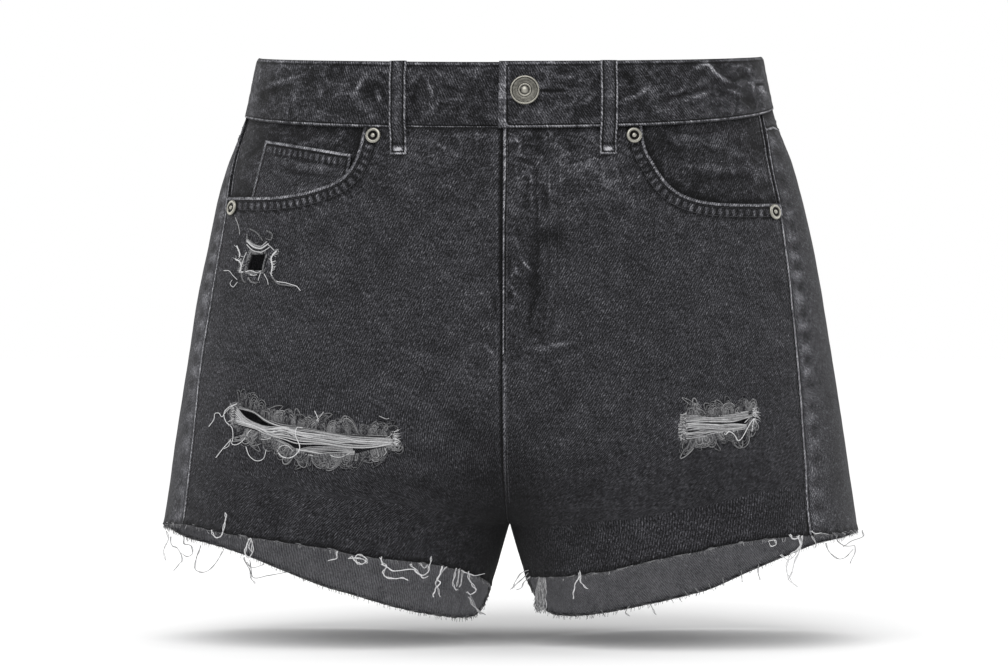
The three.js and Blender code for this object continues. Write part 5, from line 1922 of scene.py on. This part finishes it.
HANGING = {
    (Half.FRONT, Side.RIGHT): (
        Thread(0.3, 0.9, ((-161.5, -266.5), (-161, -269), (-162, -273.5), (-163.5, -279.5), (-166.5, -281),
            (-168.5, -279), (-169.5, -276.5))),
        Thread(0.35, 0.9, ((-146.5, -281), (-148.5, -286), (-149, -290), (-147, -292), (-145, -289),
            (-145, -283.5), (-146.5, -281))),
        Thread(0.25, 0.75, ((-145.5, -282), (-147, -286), (-145, -289))),
        Thread(0.3, 0.85, ((-95.5, -288), (-95.5, -292), (-99, -293), (-100.5, -293.5))),
        Thread(0.35, 0.9, ((-87.5, -291), (-85, -293.5), (-81.5, -295.5), (-78.5, -293.5), (-80, -291),
            (-83.5, -290), (-85, -292.5), (-83.5, -295.5))),
        Thread(0.35, 0.8, ((-88.5, -292), (-84.5, -292), (-80.5, -292.5), (-78, -295))),
        Thread(0.35, 0.95, ((-70.5, -291.5), (-69.5, -295), (-67, -297), (-69, -300), (-67.5, -303),
            (-62, -304), (-58, -303.5), (-54.5, -305))),
        Thread(0.3, 0.85, ((-70, -295.5), (-64.5, -299), (-60, -299.5), (-54, -298.5), (-50.5, -299.5),
            (-48, -302), (-45.5, -303.5), (-43, -302.5))),
        Thread(0.35, 0.95, ((-54, -296), (-52, -298), (-49.5, -300.5), (-47, -302.5), (-44, -301),
            (-43, -298), (-42, -294), (-41.5, -291.5))),
        Thread(0.25, 0.8, ((-48.5, -295.5), (-46, -298.5), (-44, -296.5))),
        Thread(0.35, 0.9, ((-36.5, -298), (-37, -301.5), (-39, -305), (-37.5, -307.5), (-40, -311),
            (-41, -313.5), (-41.5, -316))),
        Thread(0.3, 0.85, ((-34, -298.5), (-37.5, -303), (-40, -308), (-38.5, -312), (-37.5, -316))),
        Thread(0.3, 0.85, ((-28.5, -299.5), (-29.5, -304), (-30.5, -308), (-29.5, -311), (-28, -312.5))),
        Thread(0.3, 0.8, ((-27, -300), (-27.5, -306), (-28.5, -310.5))),
        Thread(0.3, 0.8, ((-25, -301.5), (-26, -308.5), (-27, -311))),
        Thread(0.35, 0.95, ((-22, -302), (-21.5, -306.5), (-19.5, -310), (-17.5, -313), (-20.5, -315.5),
            (-23, -314))),
        Thread(0.3, 0.85, ((-26, -301), (-22.5, -302.5), (-18, -304), (-12.5, -303))),
        Thread(0.4, 0.45, ((-21, -315.5), (-19, -321.5), (-15.5, -326), (-12, -327.5))),
        Thread(0.4, 0.6, ((-22, -317), (-20, -320.5), (-17, -324.5), (-14, -327))),
    ),
    (Half.FRONT, Side.LEFT): (
        Thread(0.3, 0.75, ((13, -303.5), (9, -307.5), (5, -311), (2, -314))),
        Thread(0.3, 0.7, ((14, -302), (8.5, -304), (5, -308.5), (3.5, -313))),
        Thread(0.3, 0.8, ((14, -305.5), (10, -309.5), (8, -313), (5.5, -314))),
        Thread(0.3, 0.9, ((44, -301), (43, -304.5), (41, -309), (40.5, -312.5), (40, -316.5))),
        Thread(0.3, 0.9, ((44, -300), (44.5, -305.5), (46, -308.5), (49, -310.5))),
        Thread(0.3, 0.8, ((153, -282), (156, -281.5), (157.5, -283.5), (155, -285), (153, -283))),
        Thread(0.35, 0.9, ((165.5, -278.5), (166.5, -280.5), (169, -281), (171, -279))),
        Thread(0.35, 0.9, ((170, -279.5), (171.5, -285), (169, -288), (166.5, -289.5), (164.5, -293.5),
            (163.5, -298.5), (165.5, -305), (170, -309))),
        Thread(0.3, 0.8, ((172.5, -279.5), (171.5, -287), (168.5, -294), (166.5, -301), (164.5, -305))),
        Thread(0.3, 0.7, ((160, -290), (164, -293), (167, -291.5), (170.5, -287), (172.5, -283))),
        Thread(0.3, 0.8, ((178, -277), (180.5, -278.5), (184, -278))),
        Thread(0.25, 0.6, ((178, -280), (180.5, -283.5), (180, -287))),
    ),
    (Half.BACK, Side.RIGHT): (
        Thread(0.25, 0.7, ((-207.5, -281.5), (-206, -286), (-208, -290.5), (-209, -294.5),
            (-207.5, -299.5))),
        Thread(0.25, 0.65, ((-202.5, -284), (-201.5, -289.5), (-198, -291), (-195.5, -298), (-197.5, -300.5),
            (-200.5, -304.5))),
        Thread(0.25, 0.6, ((-195.5, -284), (-196, -288.5), (-192, -290), (-190.5, -294), (-193.5, -296.5),
            (-198, -294.5))),
        Thread(0.25, 0.7, ((-191, -292), (-192.5, -296.5), (-194, -300.5), (-194.5, -306.5), (-191, -308.5),
            (-186.5, -307.5), (-182, -303), (-177.5, -295.5))),
        Thread(0.3, 0.7, ((-170, -302), (-166.5, -310), (-165, -315.5), (-163, -318.5))),
        Thread(0.25, 0.65, ((-168.5, -305), (-164.5, -308.5), (-156.5, -306))),
        Thread(0.25, 0.65, ((-166.5, -304), (-164.5, -314.5), (-155, -313.5), (-141.5, -311))),
    ),
    (Half.BACK, Side.LEFT): (
        Thread(0.3, 0.7, ((211, -280), (211, -284), (204.5, -286.5), (199.5, -290))),
        Thread(0.25, 0.65, ((195.5, -282.5), (197, -287), (199.5, -290.5), (204, -291.5), (208, -291.5),
            (207.5, -296), (205, -302))),
        Thread(0.25, 0.65, ((189.5, -288.5), (192, -294.5), (197.5, -298), (202, -296.5), (206, -292))),
        Thread(0.25, 0.75, ((150.5, -306), (150.5, -311.5), (151.5, -316))),
        Thread(0.25, 0.75, ((140, -310), (140.5, -317.5))),
        Thread(0.25, 0.8, ((128.5, -314.5), (129, -320))),
        Thread(0.25, 0.8, ((120, -318.5), (121, -322.5))),
        Thread(0.25, 0.8, ((111.5, -321.5), (114, -325))),
        Thread(0.25, 0.8, ((105, -323.5), (107.5, -327))),
        Thread(0.25, 0.8, ((83.5, -331), (85, -335), (87, -338))),
        Thread(0.25, 0.8, ((70, -332), (68, -336), (70.5, -338.5))),
        Thread(0.25, 0.8, ((53, -334), (55.5, -338))),
    ),
}


@dataclass
class Frays:
    """The loosened yarn of the raw hems."""

    finishes: Finishes
    pitch: float = 0.75
    fuzz: float = 2.9
    fuzz_shades: tuple[float, ...] = (0.12, 0.2, 0.35, 0.7)
    fuzz_shares: tuple[float, ...] = (0.4, 0.3, 0.2, 0.1)
    roll_shades: tuple[float, ...] = (0.05, 0.1, 0.16, 0.08, 0.3)
    roll_step: float = 2.2
    roll_turn: float = 0.35
    tassel_share: float = 0.22
    tassel_yarns: int = 54
    tassel_reach: float = 4.6

    def hem(self, half: Half, side: Side, seed: int) -> bpy.types.Object:
        """Makes one panel's fray: short fuzz all along, and long white threads."""
        rng = np.random.default_rng(seed)
        strands = Strands(f"fray_{half.word}_{side.word}_yarn")
        sign = half.value
        inner, outer = sign * math.pi, float(BODY.seam_angle(side, BODY.side_hem))
        samples = np.linspace(0, 1, 240)
        angles = blend(inner, outer, samples)
        heights = BODY.hem(side, angles)
        edge = BODY.skin(side, angles, heights, -0.5) + [0, sign * GAP / 2, 0]
        normals = BODY.normal(side, angles, heights)
        runs = run_lengths(edge)

        def at(run: float) -> tuple[np.ndarray, np.ndarray, np.ndarray]:
            """The edge's point, normal and direction at a distance along it."""
            point = np.array([np.interp(run, runs, edge[:, k]) for k in range(3)])
            normal = np.array([np.interp(run, runs, normals[:, k]) for k in range(3)])
            return point, normal / np.linalg.norm(normal), np.cross(normal, UP)

        for run in np.arange(0.5, runs[-1] - 0.5, self.pitch):
            point, normal, along = at(run)
            length = self.fuzz * (0.35 + 0.9 * rng.random() ** 2)
            swing, out = rng.normal(0, 0.8), rng.normal(0.1, 0.5)
            t = np.array([0, 0.35, 0.7, 1.0])[:, None]
            depth = rng.uniform(-0.4, 0.5)
            path = point + normal * (depth + out * t) + along * swing * t**1.5 + UP * (0.5 - length * t)
            radius = rng.uniform(0.12, 0.22)
            strands.add(path, radius, rng.choice(self.fuzz_shades, p=self.fuzz_shares), 3)
        for shade in self.roll_shades:
            rolled = []
            phase = rng.uniform(0, 6)
            for run in np.arange(0.6, runs[-1] - 0.6, self.roll_step):
                point, normal, _ = at(run)
                turn = phase + run * self.roll_turn
                out, up = 0.1 + 0.5 * math.cos(turn), 0.2 + 0.5 * math.sin(turn)
                rolled.append(point + normal * out + UP * up)
            strands.add(np.array(rolled), rng.uniform(0.3, 0.45), shade, 4, 1.0)
        order = np.argsort(edge[:, 0])
        for row in HANGING[(half, side)]:
            flat = spline(row.path, 6)
            depth = np.interp(flat[0, 0], edge[order, 0], edge[order, 1]) - 2.0
            for twin in (-1, 1):
                t = np.arange(len(flat))
                apart = twin * row.width * (0.5 + np.sin(t * 0.7 + rng.uniform(0, 6)))
                out = depth - 0.8 * np.sin(t * 0.35 + rng.uniform(0, 6)) ** 2
                line = np.stack([flat[:, 0] + apart, out, flat[:, 1] + 0.4 * apart], axis=1)
                radius = row.width * rng.uniform(0.8, 1.0)
                strands.add(line, radius, row.shade * rng.uniform(0.85, 1.05), 4, 0.7)
        if (half, side) == (Half.FRONT, Side.LEFT):
            self.tassel(strands, at, rng, float(np.interp(self.tassel_share, samples, runs)))
        piece = strands.build(self.finishes.yarn)
        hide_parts(f"fray_{half.word}_{side.word}")
        return piece

    def tassel(self, strands: Strands, at: Callable, rng: np.random.Generator, run: float) -> None:
        """Adds the thick bundle of yarn at the left leg's inner corner."""
        for _ in range(self.tassel_yarns):
            place = rng.uniform(-1, 1)
            point, normal, along = at(run + self.tassel_reach * place)
            t = np.linspace(0, 1, 20)[:, None]
            length = rng.uniform(17, 22)
            waves = 1.3 * np.sin(t * rng.uniform(9, 14) + rng.uniform(0, 6)) * np.minimum(3 * t, 1)
            sway = -2.2 * place * t**1.5 + waves + 1.5 * t
            out = 0.4 + rng.uniform(-0.4, 2.4) * t
            path = point + normal * out + along * sway - UP * (length * t - 0.8)
            strands.add(path, rng.uniform(0.24, 0.36), rng.uniform(0.15, 0.7), 4, 0.6)

    def build(self) -> list[bpy.types.Object]:
        """Makes the four frays."""
        return [self.hem(half, side, 7 + 2 * half.value + side.value) for half in Half for side in Side]


LOOSE_THREADS = (
    Thread(0.24, 0.8, ((-172.7, -217.2), (-169.5, -213.1), (-168.9, -209.6), (-166.3, -209.3),
        (-164.3, -211.3), (-161.2, -207.7), (-155, -203.6))),
    Thread(0.26, 0.85, ((-155, -203.6), (-161.3, -206.6), (-163.1, -210.1), (-161.7, -214.1),
        (-157.8, -217.5), (-157, -223.3), (-157.6, -226.8), (-154.5, -227.3), (-150.2, -224.4),
        (-146, -218.5))),
    Thread(0.26, 0.85, ((-167.6, -235.1), (-163.2, -229.8), (-158.3, -224.5))),
    Thread(0.22, 0.7, ((-162.6, -229.8), (-159.5, -228), (-158.3, -224.5))),
    Thread(0.24, 0.8, ((-148.9, -228.4), (-146.9, -233.5), (-142.6, -236.4), (-138.4, -235.1),
        (-136.6, -229.9))),
    Thread(0.3, 0.85, ((-129.4, -231.6), (-127, -233.9), (-122.2, -234.4), (-118.1, -231.5), (-117, -227.5),
        (-119.4, -221.7), (-118.8, -217.1), (-115.3, -217.1))),
    Thread(0.24, 0.75, ((-130, -231), (-128.2, -228.1), (-124.1, -227.5), (-121.1, -230.4))),
    Thread(0.24, 0.85, ((-108.3, -207.3), (-106.5, -211.3), (-105.9, -215.3))),
    Thread(0.22, 0.6, ((-103, -207.8), (-106.5, -212.4), (-110, -215.3))),
    Thread(0.22, 0.75, ((-99.3, -232.5), (-96.4, -233.7), (-92.3, -233.6), (-87.7, -231.3))),
    Thread(0.22, 0.7, ((-139.8, -224.2), (-134.9, -223.6), (-133.7, -221.8))),
    Thread(0.2, 0.55, ((-70.9, -210), (-66.9, -211.7), (-65.1, -211.2))),
    Thread(0.2, 0.7, ((-62.8, -218.6), (-64.6, -221.5), (-68, -222.7))),
    Thread(0.2, 0.7, ((-67.5, -228.4), (-66.9, -231.3), (-69.8, -233.6))),
    Thread(0.28, 0.9, ((126.8, -220.1), (127.9, -220.8), (130.2, -219.2), (133.1, -221.3), (135.2, -224.4),
        (137.7, -222.2), (141.2, -215.9), (144.1, -211.9), (143.5, -215.3), (142.9, -219.3))),
    Thread(0.24, 0.6, ((138.9, -214.1), (142.4, -210.7), (145.9, -206.7))),
    Thread(0.5, 0.8, ((-132.4, -114.5), (-135.5, -118.6), (-134.8, -123.2), (-135.6, -127.9)), 44),
    Thread(0.5, 0.16, ((-135, -129.6), (-131, -133.6), (-126, -134.6), (-121.5, -135.2)), 30),
    Thread(0.24, 0.85, ((-135.6, -127.9), (-132.8, -132), (-126.7, -133.2), (-120.6, -135), (-119.4, -135.6),
        (-117.5, -137.9))),
    Thread(0.22, 0.7, ((-165.4, -125.8), (-162.1, -125.8), (-159.3, -128.8), (-156.7, -131.2))),
    Thread(0.22, 0.7, ((-156.6, -132.4), (-159.2, -135.3), (-161.2, -133.5), (-159.9, -131.2))),
    Thread(0.2, 0.5, ((-158.3, -94.6), (-156.1, -100), (-155.4, -104.7))),
    Thread(0.4, 0.8, ((-157.2, -111.2), (-155.1, -115.9), (-155.4, -118)), 10),
    Thread(0.4, 0.75, ((-158, -119), (-155.4, -120.4), (-154.2, -123), (-155, -127)), 44),
    Thread(0.25, 0.7, ((-150.8, -115), (-152.4, -119), (-153.6, -122), (-154.2, -126))),
    Thread(0.6, 0.6, ((-150.7, -108.4), (-146.8, -111.8), (-141.8, -113), (-137.3, -110.3))),
    Thread(0.5, 0.4, ((-150.7, -107.4), (-146.8, -110.6), (-141.8, -111.8), (-138.3, -109))),
    Thread(0.3, 0.65, ((-150.8, -110.6), (-147, -114), (-141.5, -115.2), (-136.6, -112.4))),
    Thread(0.4, 0.45, ((-138, -110.4), (-135.6, -112.4), (-133.6, -114.4))),
    Thread(0.5, 0.16, ((-150.6, -104.4), (-150, -108), (-145, -111)), 16),
    Thread(0.5, 0.12, ((-149, -101.4), (-144.4, -104), (-141, -108.4)), 16),
    Thread(0.5, 0.14, ((-138.6, -102.6), (-135.4, -104.6), (-136, -108), (-139, -107.4)), 16),
    Thread(0.5, 0.16, ((-153.6, -128), (-153, -131), (-151.4, -133)), 16),
    Thread(0.5, 0.18, ((-149.6, -130), (-147.4, -132.6), (-144.6, -133.4)), 20),
    Thread(0.3, 0.75, ((-151, -126.6), (-147.8, -126), (-144, -127.2), (-141.5, -126.1))),
    Thread(0.28, 0.7, ((-148.4, -128.4), (-146.2, -128.7), (-144, -128.4))),
    Thread(0.22, 0.75, ((-141.5, -126.7), (-142.7, -130.2), (-143.3, -131.9))),
    Thread(0.22, 0.75, ((-139.6, -127.9), (-137.7, -131.4), (-137.1, -134.3))),
)


class Bundle(NamedTuple):
    """Weft yarns together across a tear: their number, shade, and a path of places and half widths."""

    count: int
    shade: float
    path: tuple[tuple[float, float, float], ...]


BUNDLES = {
    "rip_threads_right": (
        Bundle(4, 0.42, ((-154, -205.8, 0.8), (-145, -208.1, 0.6), (-138, -212.7, 0.9), (-129, -215.8, 0.9),
            (-117, -217.1, 0.9), (-104, -219.4, 1.2), (-88, -221.6, 1.2), (-66, -222.7, 1.2))),
        Bundle(9, 0.5, ((-156, -207.7, 2.9), (-150, -213.4, 2.3), (-141, -216.8, 1.7), (-134, -219, 2.9),
            (-126, -220.1, 3.4), (-118, -222.9, 3.2), (-105, -224.3, 2.7), (-91, -225.9, 2.7),
            (-77, -225.9, 2.6), (-64, -224.4, 1.7))),
        Bundle(8, 0.58, ((-156, -213.4, 1.4), (-144, -216.8, 1.5), (-136, -219.6, 2.3), (-127, -218.9, 2.3),
            (-117, -220.6, 2), (-99, -222.2, 1.5), (-82, -224.5, 1.5), (-63, -225, 1.7))),
        Bundle(6, 0.5, ((-140, -221.4, 1.2), (-131, -224.2, 1.2), (-124, -227.5, 1.6), (-119, -230.6, 1.2),
            (-111, -229.2, 1.2), (-99, -228.5, 1.2), (-86, -229.6, 0.9))),
        Bundle(6, 0.46, ((-119, -230, 1.2), (-108, -232.2, 1.6), (-97, -232.2, 1.6), (-85, -231.2, 0.9))),
    ),
    "rip_threads_left": (
        Bundle(8, 0.5, ((102, -209.7, 0.8), (114, -210.8, 1), (126, -210.3, 1.2), (141, -208.4, 1.2))),
        Bundle(6, 0.55, ((102, -212.6, 2), (114, -212.5, 1.2), (125, -212.5, 1.2), (134, -211.8, 1.2),
            (143, -210.2, 0.6))),
        Bundle(11, 0.52, ((101, -218, 4.3), (111, -217.4, 2.5), (120, -216.3, 1.9), (131, -216.7, 1.8),
            (140, -216.5, 1.2))),
        Bundle(6, 0.48, ((102, -222.6, 1.4), (114, -220.9, 1.8), (123, -219.4, 1.3), (132, -218.3, 1),
            (139, -217, 0.6))),
    ),
}


@dataclass
class Tears:
    """The yarn of the three torn places."""

    finishes: Finishes
    feeler: Feeler
    near: float = 22
    hole_petal: float = 2.4
    rip_petal: float = 10.5
    whisker_count: int = 26
    whisker_root: float = 1.2

    @staticmethod
    def edge_at(outline: np.ndarray, x: float) -> tuple[float, float]:
        """The upper and lower height of an outline at a distance across."""
        hits = []
        for a, b in zip(outline, np.roll(outline, -1, axis=0)):
            if (a[0] - x) * (b[0] - x) <= 0 and a[0] != b[0]:
                hits.append(blend(a[1], b[1], (x - a[0]) / (b[0] - a[0])))
        return (max(hits), min(hits)) if hits else (outline[0][1], outline[0][1])

    @staticmethod
    def weft(strands: Strands, bundles: Sequence[Bundle], rng: np.random.Generator) -> None:
        """Lays the pale weft across the opening, in bundles that part and meet again."""
        for bundle in bundles:
            line = spline(bundle.path, 5)
            side = Side.LEFT if line[0][0] > 0 else Side.RIGHT
            for k in range(bundle.count):
                share = 2 * (k + 0.5) / bundle.count - 1
                phase = rng.uniform(0, 6)
                path = []
                for t, (x, z, half) in zip(np.linspace(0, 1, len(line)), line):
                    z += half * (share + 0.22 * math.sin(t * 11 + phase))
                    lift = 0.75 - 0.7 * math.sin(math.pi * t) + 0.3 * math.sin(t * 8 + phase)
                    path.append(BODY.skin(side, BODY.angle_at(x, z), np.array(z), lift) + [0, -GAP / 2, 0])
                shade = bundle.shade + rng.uniform(-0.28, 0.2)
                strands.add(np.array(path), rng.uniform(0.26, 0.42), shade, 4, 1.0)

    def petals(self, strands: Strands, outline: np.ndarray, size: float, rng: np.random.Generator) -> None:
        """Lays nested loops of grey warp on the cloth round the opening, like petals."""
        closed = np.vstack([outline, outline[:1]])
        runs = run_lengths(closed)
        ahead = np.roll(outline, -1, axis=0)
        turn = math.copysign(1, np.sum(outline[:, 0] * ahead[:, 1] - outline[:, 1] * ahead[:, 0]))
        run = 1.0
        while run < runs[-1]:
            root = np.array([np.interp(run, runs, closed[:, k]) for k in (0, 1)])
            step = np.array([np.interp(run + 1.5, runs, closed[:, k]) for k in (0, 1)]) - root
            along = step / max(np.linalg.norm(step), 1e-6)
            away = turn * np.array([along[1], -along[0]])
            reach = size * (0.35 + 0.65 * abs(away[1])) * rng.uniform(0.55, 1.1)
            lean, bend = rng.normal(0, 0.3), rng.normal(0, 0.045)
            wide = rng.uniform(1.3, 3.6)
            shade = rng.uniform(0.02, 0.17)
            for width in np.arange(wide, 0.25, -0.7):
                nest = width / wide
                path = []
                for swing in np.linspace(0, math.pi, 11):
                    side = -math.cos(swing) * width * (1 + 0.4 * math.sin(swing))
                    rise = math.sin(swing) ** 0.7 * reach * (0.35 + 0.65 * nest)
                    place = root + along * (side + lean * rise + bend * rise**2) + away * (rise - 0.12 * size)
                    lift = 0.25 + 0.45 * math.sin(swing) + 0.3 * (1 - nest)
                    path.append(self.feeler.front(place[0], place[1], lift)[0])
                strands.add(np.array(path), rng.uniform(0.26, 0.44), shade + rng.uniform(-0.08, 0.14), 4, 0.9)
            run += wide * 0.95

    def whiskers(self, strands: Strands, outline: np.ndarray, rng: np.random.Generator) -> None:
        """Stands short pale ends of weft up at both ends of an opening."""
        low, high = outline[:, 0].min(), outline[:, 0].max()
        for end, way in ((low, -1), (high, 1)):
            start = end - way * self.whisker_root
            top, foot = self.edge_at(outline, start)
            for _ in range(self.whisker_count):
                z = rng.uniform(foot - 1.5, top + 1.5)
                length = rng.uniform(1.5, 5.0)
                drift = rng.normal(0, 1.4)
                path = []
                for t in np.linspace(0, 1, 5):
                    x = start + way * length * t
                    lift = 0.2 + 1.0 * math.sin(math.pi * t * 0.8)
                    path.append(self.feeler.front(x, z + drift * t * t, lift)[0])
                strands.add(np.array(path), rng.uniform(0.14, 0.24), rng.uniform(0.5, 0.95), 3, 0.5)

    def loose(self, strands: Strands, outline: np.ndarray, rng: np.random.Generator) -> None:
        """Lays the long loose threads that start at an opening."""
        for thread in LOOSE_THREADS:
            middle = np.mean(thread.path, axis=0)[:, None]
            d, _ = path_distance(np.vstack([outline, outline[:1]]), *middle)
            if d[0] > self.near and not inside(outline, *middle)[0]:
                continue
            flat = spline(thread.path, 5)
            rope = np.array([self.feeler.front(x, z, 0.9)[0] for x, z in flat])
            strands.add(rope, thread.width, thread.shade, 5, 0.8)
            for _ in range(thread.fibres):
                x, z = flat[rng.integers(0, len(flat))] + rng.normal(0, 0.4, 2)
                turn, length = rng.uniform(0, TAU), rng.uniform(1, 3.2)
                reach = np.array([math.cos(turn), 0.5 * math.sin(turn)]) * length
                fibre = np.array(
                    [
                        self.feeler.front(x + reach[0] * t, z + reach[1] * t + 0.5 * t * t, 0.7 - 0.3 * t)[0]
                        for t in (0, 0.5, 1)
                    ]
                )
                strands.add(fibre, rng.uniform(0.14, 0.24), thread.shade * rng.uniform(0.7, 1.1), 3, 0.5)

    def build(self) -> list[bpy.types.Object]:
        """Makes the yarn of each torn place."""
        made = []
        for index, (name, outline) in enumerate(RIPS.items()):
            rng = np.random.default_rng(300 + index)
            ring = np.array(outline, float)
            strands = Strands(f"{name}_yarn")
            small = name == "hole_threads"
            self.weft(strands, BUNDLES.get(name, ()), rng)
            self.petals(strands, ring, self.hole_petal if small else self.rip_petal, rng)
            if not small:
                self.whiskers(strands, ring, rng)
            self.loose(strands, ring, rng)
            piece = strands.build(self.finishes.yarn)
            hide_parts(name)
            made.append(piece)
        return made


@dataclass
class Studio:
    """The pale floor, the soft lights and the camera."""

    key: float = 1.8
    ambient: float = 0.66
    azimuth: float = 2.5
    distance: float = 2500
    height: float = -164
    aside: float = -3.6
    lens: float = 148.8
    sensor: float = 36
    floor_drop: float = 6.0
    floor_size: float = 60
    rim_size: float = 0.9
    rim_power: float = 4.5
    key_spread: float = 48

    def sky(self) -> None:
        """Makes a soft surround that looks white to the camera."""
        world = bpy.data.worlds.new("white_studio")
        world.use_nodes = True
        tree = world.node_tree
        seen = add_node(tree, "ShaderNodeLightPath").outputs["Is Camera Ray"]
        inputs = {0: seen, 1: 1.0 - self.ambient, 2: self.ambient}
        strength = add_node(tree, "ShaderNodeMath", inputs, operation="MULTIPLY_ADD")
        background = tree.nodes["Background"]
        background.inputs["Color"].default_value = (1, 1, 1, 1)
        tree.links.new(strength.outputs[0], background.inputs["Strength"])
        bpy.context.scene.world = world

    @staticmethod
    def aim(lamp: bpy.types.Object, place: Vector, target: Vector) -> None:
        """Puts a lamp in its place and turns it to a target."""
        bpy.context.collection.objects.link(lamp)
        lamp.location = place
        lamp.rotation_euler = (target - place).to_track_quat("-Z", "Y").to_euler()

    def build(self) -> None:
        """Sets the scene up."""
        low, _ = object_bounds()
        bpy.ops.object.select_all(action="DESELECT")
        foot = (0, 0, low[2] - self.floor_drop * MM)
        bpy.ops.mesh.primitive_plane_add(size=self.floor_size, location=foot)
        floor = bpy.context.object
        floor.name = "floor"
        material, _, shader = new_material("matt_white_floor")
        set_inputs(shader, {"Base Color": tone("#fcfcfc"), "Roughness": 1.0, "Specular IOR Level": 0.0})
        floor.data.materials.append(material)
        floor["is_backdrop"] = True
        self.sky()
        middle = Vector((0, 0, -0.17))
        for name, place in (("rim_left", (-1.3, 0.35, 0.2)), ("rim_right", (1.3, 0.35, 0.2))):
            light = bpy.data.lights.new(name, "AREA")
            light.size = self.rim_size
            light.energy = self.rim_power
            self.aim(bpy.data.objects.new(name, light), Vector(place), middle)
        sun = bpy.data.lights.new("key", "SUN")
        sun.energy = self.key
        sun.angle = math.radians(self.key_spread)
        self.aim(bpy.data.objects.new("key", sun), Vector((-0.25, -1.85, 1.8)), middle)
        turn = math.radians(self.azimuth)
        right = Vector((math.cos(turn), math.sin(turn), 0))
        back = Vector((math.sin(turn), -math.cos(turn), 0))
        camera = bpy.data.objects.new("camera", bpy.data.cameras.new("camera"))
        camera.data.lens = self.lens
        camera.data.sensor_width = self.sensor
        camera.data.clip_end = 100
        camera.location = (right * self.aside + back * self.distance + Vector((0, 0, self.height))) * MM
        camera.rotation_euler = (math.pi / 2, 0, turn)
        bpy.context.collection.objects.link(camera)
        bpy.context.scene.camera = camera
        bpy.context.scene.view_settings.view_transform = "Standard"


def main() -> None:
    """Builds the shorts over the frame, part by part."""
    logging.basicConfig(level=logging.INFO, format="%(name)s: %(message)s")
    Studio().build()
    finishes = Finishes()
    panels = Panels(finishes).build()
    pockets = Pockets(finishes).build()
    band = Waistband(finishes).build()
    loops = BeltLoops(finishes).build()
    metal = Hardware(finishes).build()
    feeler = Feeler(panels + pockets)
    sewing = Sewing(finishes, feeler).build()
    frays = Frays(finishes).build()
    tears = Tears(finishes, feeler).build()
    for piece in [*panels, *pockets, band, *loops, *metal, *sewing, *frays, *tears]:
        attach(piece, "root")
        LOG.info("%s: %d faces", piece.name, len(piece.data.polygons))


if __name__ == "__main__":
    main()
